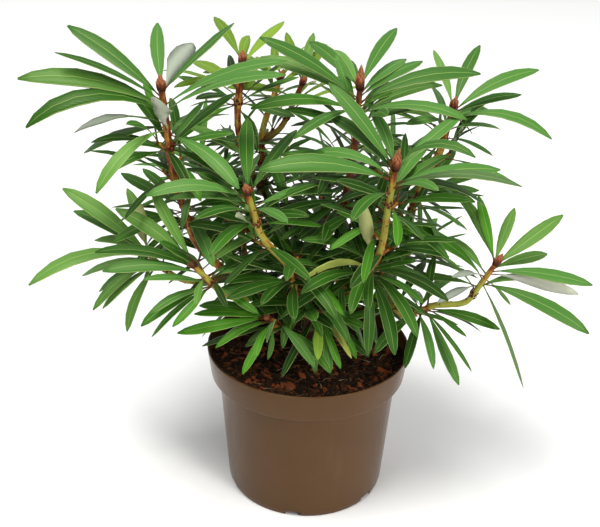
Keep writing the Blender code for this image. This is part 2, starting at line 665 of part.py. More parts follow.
def make_foliage(collection, material, limbs):
    """Every shoot as one solid. A leaf that would touch a limb or another shoot is left out."""
    solid_trees = [tree_of(evaluated_mesh(limb)) for limb in limbs]
    stems, plans = {}, {}
    for index, (name, shoot) in enumerate(SHOOTS.items()):
        rng = random.Random(SEED + index)
        twigs = shoot_twigs(shoot, rng)
        plans[name] = shoot_leaves(shoot, twigs, rng)
        pieces = bpy.data.collections.new(f"{name}_pieces")
        bpy.context.scene.collection.children.link(pieces)
        stem = stem_meshes(name, shoot, twigs, pieces, collection, material)
        if pieces.objects:
            unite(stem, pieces)
        else:
            bpy.data.collections.remove(pieces)
        stems[name] = stem
    stem_trees = {name: tree_of(stem.data) for name, stem in stems.items()}
    leaf_trees = []
    for name, stem in stems.items():
        pieces = bpy.data.collections.new(f"{name}_leaves")
        bpy.context.scene.collection.children.link(pieces)
        others = solid_trees + leaf_trees + [tree for key, tree in stem_trees.items() if key != name]
        own_trees = []
        for leaf in plans[name]:
            placed = clear_leaf(leaf, others)
            if placed:
                mesh = leaf_mesh(placed)
                new_object("leaf", mesh, pieces)
                own_trees.append(tree_of(mesh))
        leaf_trees += own_trees
        unite(stem, pieces)


def main():
    clear_scene()
    parts = new_collection("Potted_rhododendron")
    cutters = new_collection("Cutters")
    bark = new_material("bark")
    pot = make_pot(parts, cutters, new_material("pot"))
    soil = make_soil(parts, cutters, new_material("soil"))
    trunk = make_trunk(parts, bark)
    boughs = make_boughs(parts, bark)
    make_foliage(parts, new_material("foliage"), [pot, soil, trunk] + boughs)
    for item in parts.objects:
        item.data.shade_smooth()
        item.data.set_sharp_from_angle(angle=math.radians(35.0))


main()
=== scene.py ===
import json
import math
import random
from collections import namedtuple

import bmesh
import bpy
import numpy as np
from mathutils import Matrix, Quaternion, Vector
from mathutils.kdtree import KDTree

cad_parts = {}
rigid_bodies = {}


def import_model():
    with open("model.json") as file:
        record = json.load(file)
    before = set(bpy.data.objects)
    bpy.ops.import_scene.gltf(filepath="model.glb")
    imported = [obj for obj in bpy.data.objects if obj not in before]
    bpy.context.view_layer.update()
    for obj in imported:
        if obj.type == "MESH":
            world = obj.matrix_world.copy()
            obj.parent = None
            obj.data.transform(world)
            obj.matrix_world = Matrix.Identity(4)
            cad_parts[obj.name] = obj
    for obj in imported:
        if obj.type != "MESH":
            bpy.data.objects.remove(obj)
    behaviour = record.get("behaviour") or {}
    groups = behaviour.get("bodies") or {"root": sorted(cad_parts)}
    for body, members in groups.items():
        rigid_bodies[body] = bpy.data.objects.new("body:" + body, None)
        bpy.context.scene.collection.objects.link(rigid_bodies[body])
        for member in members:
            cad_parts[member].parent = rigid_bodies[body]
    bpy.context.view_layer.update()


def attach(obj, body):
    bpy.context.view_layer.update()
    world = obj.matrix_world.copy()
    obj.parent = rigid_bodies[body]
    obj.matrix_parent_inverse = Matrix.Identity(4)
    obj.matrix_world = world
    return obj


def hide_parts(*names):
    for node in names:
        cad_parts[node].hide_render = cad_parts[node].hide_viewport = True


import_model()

# The pot: a thin moulded shell of brown plastic. A deep band runs round its rim, steps in to
# the tapered body, and drain channels cross the floor to notches in the bottom edge.
MM = 0.001
CLOSE = 0.01 * MM
POT_HEIGHT = 176.5
WALL = 2.0
POT_OUTLINE = (
    (0.0, WALL, 0.0), (87.8, WALL, 3.0), (100.0, 141.5, 1.5), (108.6, 145.5, 1.5),
    (113.0, POT_HEIGHT, 0.9), (115.0, POT_HEIGHT, 1.0), (114.2, 168.0, 8.0), (110.8, 143.4, 2.6),
    (102.1, 142.6, 1.6), (91.8, 6.0, 4.0), (90.4, 0.0, 1.8), (0.0, 0.0, 0.0),
)
POT_STEPS = 192
ARC_POINTS = 6
MOST_CUT = 0.45
POT_CREASE = math.radians(32.0)
CHANNELS = 6
CHANNEL_WIDTH = 18.0
CHANNEL_HEIGHT = 6.0
CHANNEL_START = 36.0
ROOF_FOOT = 1.0
ROOF_END = 88.8
CHANNEL_END = 120.0
FIRST_CHANNEL = math.radians(-98.6)


def new_object(name, mesh):
    item = bpy.data.objects.new(name, mesh)
    bpy.context.scene.collection.objects.link(item)
    return item


def plain_mesh(item):
    """Keeps what an object's modifiers make of it as its own mesh."""
    depsgraph = bpy.context.evaluated_depsgraph_get()
    made = bpy.data.meshes.new_from_object(item.evaluated_get(depsgraph))
    item.modifiers.clear()
    item.data = made
    return item


def to_mesh(shape, name):
    """A mesh from a bmesh, which is then given up."""
    mesh = bpy.data.meshes.new(name)
    shape.to_mesh(mesh)
    shape.free()
    return mesh


def rounded_outline(corners):
    """A closed outline whose corners, each (radius, height, rounding), are turned to short arcs."""
    places = [Vector(corner[:2]) for corner in corners]
    outline = []
    for index, (place, corner) in enumerate(zip(places, corners)):
        if not corner[2]:
            outline.append(place)
            continue
        before, after = places[index - 1] - place, places[index + 1] - place
        cut = corner[2] / math.tan(before.angle(after) / 2)
        start = place + before.normalized() * min(cut, before.length * MOST_CUT)
        end = place + after.normalized() * min(cut, after.length * MOST_CUT)
        for share in np.linspace(0.0, 1.0, ARC_POINTS):
            outline.append(start.lerp(place, share).lerp(place.lerp(end, share), share))
    return outline


def turned(name, outline, steps):
    """A round piece from its outline in millimetres, turned about the pot's axis."""
    shape = bmesh.new()
    corners = [shape.verts.new((place[0] * MM, 0.0, place[1] * MM)) for place in outline]
    for one, other in zip(corners, corners[1:]):
        shape.edges.new((one, other))
    item = new_object(name, to_mesh(shape, name))
    turn = item.modifiers.new("Turn", "SCREW")
    turn.steps = turn.render_steps = steps
    turn.use_merge_vertices = True
    turn.merge_threshold = CLOSE
    plain_mesh(item)
    shape = bmesh.new()
    shape.from_mesh(item.data)
    bmesh.ops.remove_doubles(shape, verts=shape.verts, dist=CLOSE)
    bmesh.ops.recalc_face_normals(shape, faces=shape.faces)
    shape.to_mesh(item.data)
    shape.free()
    return item


def cut_or_join(item, operation, start, end, width, bottom, top):
    """Cuts or joins one box along each drain channel."""
    boxes = bpy.data.collections.new(operation)
    for index in range(CHANNELS):
        size = Vector((end - start, width, top - bottom)) * MM
        middle = Vector(((start + end) / 2, 0.0, (bottom + top) / 2)) * MM
        turn = Matrix.Rotation(FIRST_CHANNEL + index * math.tau / CHANNELS, 4, "Z")
        place = turn @ Matrix.Translation(middle) @ Matrix.Diagonal(size.to_4d())
        shape = bmesh.new()
        bmesh.ops.create_cube(shape, size=1.0, matrix=place)
        boxes.objects.link(bpy.data.objects.new("channel", to_mesh(shape, "channel")))
    step = item.modifiers.new(operation, "BOOLEAN")
    step.operation = operation
    step.operand_type = "COLLECTION"
    step.collection = boxes
    step.solver = "EXACT"
    plain_mesh(item)
    drop_collection(boxes)


def drop_collection(collection):
    for item in list(collection.objects):
        bpy.data.objects.remove(item)
    bpy.data.collections.remove(collection)


def add_node(tree, kind, sockets=None, **settings):
    """A node with its settings. Each socket takes a plain value or a link from an output."""
    node = tree.nodes.new(kind)
    for setting, value in settings.items():
        setattr(node, setting, value)
    for socket, value in (sockets or {}).items():
        if isinstance(value, bpy.types.NodeSocket):
            tree.links.new(value, node.inputs[socket])
        else:
            node.inputs[socket].default_value = value
    return node


def new_material(name, colour, roughness, **plain):
    """A material with a plain base colour, its node tree and its shader."""
    material = bpy.data.materials.new(name)
    material.use_nodes = True
    shader = material.node_tree.nodes["Principled BSDF"]
    shader.inputs["Base Color"].default_value = (*colour, 1.0)
    shader.inputs["Roughness"].default_value = roughness
    for socket, value in plain.items():
        shader.inputs[socket.replace("_", " ")].default_value = value
    return material, material.node_tree, shader


def ramp(tree, factor, *stops):
    """A colour ramp on a factor, from (place, colour) stops."""
    node = add_node(tree, "ShaderNodeValToRGB", {"Fac": factor})
    while len(node.color_ramp.elements) < len(stops):
        node.color_ramp.elements.new(0.5)
    for element, (place, colour) in zip(node.color_ramp.elements, stops):
        element.position = place
        element.color = (*colour, 1.0)
    return node.outputs["Color"]


def paint(tree, shader, factor, *stops):
    """Sets a shader's base colour by a ramp."""
    tree.links.new(ramp(tree, factor, *stops), shader.inputs["Base Color"])


def add_bump(tree, shader, height, strength, distance):
    bump = add_node(tree, "ShaderNodeBump", {"Height": height, "Strength": strength, "Distance": distance})
    tree.links.new(bump.outputs["Normal"], shader.inputs["Normal"])


def calculate(tree, operation, *values):
    """The result of one maths node."""
    return add_node(tree, "ShaderNodeMath", dict(enumerate(values)), operation=operation).outputs[0]


def add_noise(tree, place, scale, detail, roughness=0.5, seed=None):
    """The value of a noise texture at a place."""
    sockets = {"Vector": place, "Scale": scale, "Detail": detail, "Roughness": roughness}
    if seed is not None:
        sockets["W"] = seed
    kind = "3D" if seed is None else "4D"
    return add_node(tree, "ShaderNodeTexNoise", sockets, noise_dimensions=kind).outputs[0]


def own_place(tree):
    """The place of a point in its object's coordinates."""
    return add_node(tree, "ShaderNodeTexCoord").outputs["Object"]


pot = turned("pot_shell", rounded_outline(POT_OUTLINE), POT_STEPS)
cut_or_join(pot, "UNION", CHANNEL_START - WALL, ROOF_END, CHANNEL_WIDTH + 2 * WALL,
            ROOF_FOOT, CHANNEL_HEIGHT + WALL)
cut_or_join(pot, "DIFFERENCE", CHANNEL_START, CHANNEL_END, CHANNEL_WIDTH, -WALL, CHANNEL_HEIGHT)
pot.data.shade_smooth()
pot.data.set_sharp_from_angle(angle=POT_CREASE)

# moulded plastic: fine flow marks, a soft grain, and a little dust from the compost
plastic, tree, shader = new_material("moulded_plastic", (0.105, 0.050, 0.020), 0.30,
                                     Specular_IOR_Level=0.15)
place = own_place(tree)
flow = add_node(tree, "ShaderNodeMapping", {"Vector": place, "Scale": (1.0, 1.0, 0.12)}).outputs[0]
streaks = add_noise(tree, flow, 60.0, 5.0)
cloud = add_noise(tree, place, 14.0, 4.0)
grain = add_noise(tree, place, 900.0, 2.0)
brown = ramp(tree, cloud, (0.30, (0.088, 0.042, 0.014)), (0.72, (0.101, 0.050, 0.018)))
worn = ramp(tree, streaks, (0.62, (0.0, 0.0, 0.0)), (0.80, (0.35, 0.35, 0.35)))
dusted = add_node(tree, "ShaderNodeMix", {"Factor": worn, 6: brown, 7: (0.115, 0.064, 0.030, 1.0)},
                  data_type="RGBA")
tree.links.new(dusted.outputs[2], shader.inputs["Base Color"])
gloss = add_node(tree, "ShaderNodeMapRange", {"Value": streaks, "To Min": 0.18, "To Max": 0.28})
tree.links.new(gloss.outputs["Result"], shader.inputs["Roughness"])
add_bump(tree, shader, calculate(tree, "ADD", grain, streaks), 0.10, 0.4 * MM)
pot.data.materials.append(plastic)
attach(pot, "root")
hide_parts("pot")

# The compost: shredded bark and peat, filled to a little under the rim. Its bed is one body
# that follows the pot's inside, with a crumbled top.
SOIL_LEVEL = 161.0
SOIL_WIDE = 104.0
SOIL_OUTLINE = (
    (110.2, SOIL_LEVEL - 1.0, 0.5), (107.8, 146.6, 1.0), (99.4, 142.0, 1.0), (91.0, 20.0, 0.0),
    (88.8, 9.2, 1.0), (0.0, 9.2, 0.0),
)
SOIL_RINGS = 70
SOIL_STEPS = 180
MEAN_CRUMB = 0.62


def new_tree(name, **inputs):
    """A geometry tree with named inputs, each of a kind, and the outputs of its start node."""
    tree = bpy.data.node_groups.new(name, "GeometryNodeTree")
    tree.is_modifier = True
    tree.interface.new_socket("Geometry", in_out="INPUT", socket_type="NodeSocketGeometry")
    for label, kind in inputs.items():
        tree.interface.new_socket(label.capitalize(), in_out="INPUT", socket_type="NodeSocket" + kind)
    tree.interface.new_socket("Geometry", in_out="OUTPUT", socket_type="NodeSocketGeometry")
    return tree, tree.nodes.new("NodeGroupInput").outputs


def end_tree(tree, geometry, material):
    """Ends a geometry tree with its instances made real and its material set."""
    real = add_node(tree, "GeometryNodeRealizeInstances", {0: geometry})
    worn = add_node(tree, "GeometryNodeSetMaterial", {"Geometry": real.outputs[0], "Material": material})
    tree.links.new(worn.outputs[0], tree.nodes.new("NodeGroupOutput").inputs[0])


def grow(item, tree, **values):
    """Runs a geometry tree on an object with its named inputs set, and keeps the plain mesh."""
    step = item.modifiers.new(tree.name, "NODES")
    step.node_group = tree
    for socket in tree.interface.items_tree:
        label = socket.name.lower()
        if socket.in_out == "INPUT" and label in values:
            step[socket.identifier] = values[label]
    plain_mesh(item)
    item.data.materials.clear()
    item.data.materials.append(values["material"])
    item.data.polygons.foreach_set("material_index", [0] * len(item.data.polygons))
    return item


def compare(tree, operation, value, limit):
    return add_node(tree, "FunctionNodeCompare", {0: value, 1: limit}, operation=operation).outputs[0]


def point_height(tree):
    """The place of each point of a geometry, and its height."""
    place = add_node(tree, "GeometryNodeInputPosition").outputs[0]
    return place, add_node(tree, "ShaderNodeSeparateXYZ", {0: place}).outputs["Z"]


def move_points(tree, geometry, offset, which=True):
    sockets = {"Geometry": geometry, "Selection": which, "Offset": offset}
    return add_node(tree, "GeometryNodeSetPosition", sockets).outputs[0]


top_rings = [(radius, SOIL_LEVEL, 0.0) for radius in np.linspace(0.0, SOIL_WIDE, SOIL_RINGS)]
bed = turned("compost_bed", rounded_outline(tuple(top_rings) + SOIL_OUTLINE), SOIL_STEPS)
crumble, given = new_tree("Crumbled top", depth="Float", grain="Float", seed="Float", level="Float",
                          material="Material")
where, height = point_height(crumble)
crumb = add_noise(crumble, where, given["Grain"], 5.0, 0.68, given["Seed"])
raised = calculate(crumble, "MULTIPLY", calculate(crumble, "ADD", crumb, -MEAN_CRUMB), given["Depth"])
lift = add_node(crumble, "ShaderNodeCombineXYZ", {"Z": raised}).outputs[0]
is_top = compare(crumble, "GREATER_THAN", height, given["Level"])
end_tree(crumble, move_points(crumble, given["Geometry"], lift, is_top), given["Material"])

peat, tree, shader = new_material("peat", (0.020, 0.010, 0.005), 0.92, Specular_IOR_Level=0.2)
lumps = add_noise(tree, own_place(tree), 160.0, 8.0, 0.7)
paint(tree, shader, lumps, (0.32, (0.004, 0.002, 0.001)), (0.55, (0.018, 0.008, 0.003)),
      (0.74, (0.055, 0.024, 0.009)))
add_bump(tree, shader, lumps, 0.8, 1.6 * MM)
grow(bed, crumble, depth=0.012, grain=70.0, seed=3.0, level=(SOIL_LEVEL - 0.2) * MM, material=peat)
bed.data.shade_smooth()
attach(bed, "root")
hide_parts("soil")

# Bark chips and crumbs, and a few straws and root fibres, lie loose on the compost. A chip is a
# flat splinter with broken edges. They lie at all angles and close together.
CHIP_KINDS = 7
CHIP_CORNERS = 13
CHIP_HALVES = (1.0, 0.5, 0.22)
STRAW_KINDS = 3
STRAW_RINGS = 7
STRAW_RADIUS, STRAW_TAPER = 0.045, 0.6
STRAW_BEND, STRAW_WAVE, STRAW_LIFT = 0.30, 2.2, 0.12
STRAW_SIDES = 3
LEAST_UPWARD = 0.25
MOST_TILT = 0.45
chip_shapes = bpy.data.collections.new("chip_shapes")
chip_rng = random.Random(11)
for number in range(CHIP_KINDS):
    shape = bmesh.new()
    for _ in range(CHIP_CORNERS):
        shape.verts.new([chip_rng.uniform(-half, half) for half in CHIP_HALVES])
    hull = bmesh.ops.convex_hull(shape, input=shape.verts)
    bmesh.ops.delete(shape, geom=hull["geom_interior"], context="VERTS")
    chip_shapes.objects.link(bpy.data.objects.new("chip", to_mesh(shape, "chip")))

straw_shapes = bpy.data.collections.new("straw_shapes")
for number in range(STRAW_KINDS):
    shape = bmesh.new()
    rings = []
    for step in range(STRAW_RINGS):
        along = 2.0 * step / (STRAW_RINGS - 1) - 1.0
        bend = STRAW_BEND * math.sin(STRAW_WAVE * along + number)
        thick = STRAW_RADIUS * (1.0 - STRAW_TAPER * abs(along))
        turns = [side * math.tau / STRAW_SIDES for side in range(STRAW_SIDES)]
        rings.append([shape.verts.new((along, bend + thick * math.cos(turn),
                                       STRAW_LIFT + thick * math.sin(turn))) for turn in turns])
    for near, far in zip(rings, rings[1:]):
        for index in range(STRAW_SIDES):
            other = (index + 1) % STRAW_SIDES
            shape.faces.new((near[index], near[other], far[other], far[index]))
    shape.faces.new(rings[0][::-1])
    shape.faces.new(rings[-1])
    bmesh.ops.recalc_face_normals(shape, faces=shape.faces)
    straw_shapes.objects.link(bpy.data.objects.new("straw", to_mesh(shape, "straw")))


def store_mark(tree, geometry, label, value, domain="POINT"):
    """Keeps a number on each point or instance, for a material or a tree to read."""
    sockets = {"Geometry": geometry, "Name": label, "Value": value}
    return add_node(tree, "GeometryNodeStoreNamedAttribute", sockets, data_type="FLOAT",
                    domain=domain).outputs[0]


def skin_mark(tree, label):
    """A number that the mesh keeps, read in its material."""
    return add_node(tree, "ShaderNodeAttribute", attribute_name=label).outputs["Fac"]


scatter, given = new_tree("Scattered on top", spacing="Float", smallest="Float", largest="Float",
                          seed="Int", level="Float", reach="Float", shapes="Collection",
                          material="Material")
where, height = point_height(scatter)
upward = add_node(scatter, "GeometryNodeInputNormal").outputs[0]
slope = add_node(scatter, "ShaderNodeSeparateXYZ", {0: upward}).outputs["Z"]
flat = add_node(scatter, "ShaderNodeVectorMath", {0: where, 1: (1.0, 1.0, 0.0)}, operation="MULTIPLY")
reach = add_node(scatter, "ShaderNodeVectorMath", {0: flat.outputs[0]}, operation="LENGTH")
is_top = compare(scatter, "GREATER_THAN", height, given["Level"])
for test in (compare(scatter, "GREATER_THAN", slope, LEAST_UPWARD),
             compare(scatter, "LESS_THAN", reach.outputs["Value"], given["Reach"])):
    is_top = add_node(scatter, "FunctionNodeBooleanMath", {0: is_top, 1: test}).outputs[0]
spots = add_node(scatter, "GeometryNodeDistributePointsOnFaces", {
    "Mesh": given["Geometry"], "Selection": is_top, "Distance Min": given["Spacing"],
    "Density Max": 400000.0, "Seed": given["Seed"]}, distribute_method="POISSON")
shapes = add_node(scatter, "GeometryNodeCollectionInfo", {
    "Collection": given["Shapes"], "Separate Children": True, "Reset Children": True})
lying = add_node(scatter, "FunctionNodeRandomValue", {
    0: (-MOST_TILT, -MOST_TILT, -math.pi), 1: (MOST_TILT, MOST_TILT, math.pi),
    "Seed": given["Seed"]}, data_type="FLOAT_VECTOR")
sizes = add_node(scatter, "FunctionNodeRandomValue", {
    2: given["Smallest"], 3: given["Largest"], "Seed": given["Seed"]}, data_type="FLOAT")
laid = add_node(scatter, "GeometryNodeInstanceOnPoints", {
    "Points": spots.outputs["Points"], "Instance": shapes.outputs[0], "Pick Instance": True,
    "Rotation": lying.outputs[0], "Scale": sizes.outputs[1]})
tones = add_node(scatter, "FunctionNodeRandomValue", {"Seed": 5}, data_type="FLOAT")
toned = store_mark(scatter, laid.outputs[0], "tone", tones.outputs[1], "INSTANCE")
end_tree(scatter, toned, given["Material"])

bark_chip, tree, shader = new_material("bark_chip", (0.055, 0.022, 0.010), 0.82, Specular_IOR_Level=0.2)
fibre = add_noise(tree, own_place(tree), 420.0, 4.0)
chip_tone = calculate(tree, "MULTIPLY_ADD", fibre, 0.30, skin_mark(tree, "tone"))
paint(tree, shader, chip_tone, (0.15, (0.007, 0.003, 0.0008)), (0.62, (0.026, 0.011, 0.003)),
      (0.90, (0.072, 0.026, 0.007)), (1.0, (0.240, 0.060, 0.018)))
add_bump(tree, shader, fibre, 0.6, 0.5 * MM)
dry_straw, tree, shader = new_material("dry_straw", (0.30, 0.20, 0.09), 0.7)
paint(tree, shader, skin_mark(tree, "tone"), (0.2, (0.07, 0.035, 0.016)), (0.75, (0.20, 0.12, 0.05)),
      (1.0, (0.55, 0.46, 0.28)))

# Each litter: its piece, shapes and skin, its spacing, smallest and largest size in metres, its
# seed, how far under the compost's level it may lie, and how far out
LITTERS = (
    ("bark_chips", chip_shapes, bark_chip, 0.0062, 0.0036, 0.0085, 4, 9.0, 0.0985),
    ("bark_crumbs", chip_shapes, bark_chip, 0.0029, 0.0011, 0.0030, 7, 9.0, 0.1065),
    ("straws_and_fibres", straw_shapes, dry_straw, 0.0125, 0.004, 0.010, 9, 5.0, 0.098),
)
for name, shapes, skin, spacing, smallest, largest, seed, under, reach in LITTERS:
    item = new_object(name, bed.data.copy())
    grow(item, scatter, spacing=spacing, smallest=smallest, largest=largest, seed=seed, reach=reach,
         level=(SOIL_LEVEL - under) * MM, shapes=shapes, material=skin)
    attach(item, "root")
drop_collection(chip_shapes)
drop_collection(straw_shapes)

# The wood: a short stem that flares at its foot and forks low into five main boughs. Each
# bough ends at a shoot, and most shoots carry another bough on. The bark is thin and ribbed.
FORK = Vector((3.0, 1.0, 207.0))
STUB_LENGTH = 17.0
STUB_DIRECTIONS = {
    "left": (-0.80, -0.10, 0.55),
    "front": (-0.12, -0.78, 0.62),
    "right": (0.80, 0.06, 0.60),
    "rear": (-0.22, 0.78, 0.58),
    "centre": (0.22, 0.10, 0.97),
}
BOUGH_STEPS = 5
BOUGH_REACH = 0.36
BOUGH_LEAD = 2.0
BRANCH_LEAN = 0.6
Bough = namedtuple("Bough", "parent along start_radius end_radius shoot")
BOUGHS = {
    "left_bough": Bough("left", None, 5.0, 4.4, "inner_left"),
    "upper_left_bough": Bough("inner_left", None, 4.3, 4.1, "upper_left"),
    "left_front_bough": Bough("left_bough", 0.30, 4.0, 3.5, "left_front"),
    "far_left_bough": Bough("left_bough", 0.52, 3.6, 3.2, "far_left"),
    "front_bough": Bough("front", None, 4.8, 4.2, "front_inner"),
    "centre_left_bough": Bough("front_inner", None, 4.0, 3.5, "centre_left"),
    "low_front_left_bough": Bough("front_bough", 0.45, 3.3, 2.9, "low_front_left"),
    "low_front_bough": Bough("front_bough", 0.30, 3.2, 2.8, "low_front"),
    "right_bough": Bough("right", None, 5.0, 4.4, "right_rear"),
    "upper_right_bough": Bough("right_rear", None, 4.2, 3.9, "upper_right"),
    "right_front_bough": Bough("right_bough", 0.24, 4.0, 3.8, "right_inner"),
    "centre_right_bough": Bough("right_inner", None, 3.7, 3.4, "centre_right"),
    "low_right_bough": Bough("right_bough", 0.42, 3.8, 3.5, "low_right"),
    "far_right_bough": Bough("low_right", None, 3.6, 3.3, "far_right"),
    "rear_bough": Bough("rear", None, 5.0, 4.4, "rear_inner"),
    "back_upper_bough": Bough("rear_inner", None, 3.8, 3.4, "back_upper"),
    "back_centre_bough": Bough("back_upper_bough", 0.16, 3.3, 3.2, "back_centre"),
    "back_left_bough": Bough("rear_bough", 0.72, 4.0, 3.8, "back_left"),
    "centre_bough": Bough("centre", None, 4.8, 4.2, "centre_inner"),
    "upper_centre_bough": Bough("centre_inner", None, 4.0, 3.4, "upper_centre"),
    "rear_left_inner_bough": Bough("left_bough", 0.42, 3.6, 3.2, "rear_left_inner"),
    "rear_middle_inner_bough": Bough("centre_bough", 0.45, 3.4, 3.0, "rear_middle_inner"),
    "rear_left_bough": Bough("rear_bough", 0.48, 3.8, 3.3, "rear_left"),
    "rear_right_bough": Bough("right_bough", 0.58, 3.8, 3.3, "rear_right"),
    "rear_middle_bough": Bough("rear_bough", 0.34, 3.6, 3.2, "rear_middle"),
    "low_rear_left_bough": Bough("rear_bough", 0.22, 3.4, 3.0, "low_rear_left"),
    "low_rear_right_bough": Bough("right_bough", 0.36, 3.4, 3.0, "low_rear_right"),
}
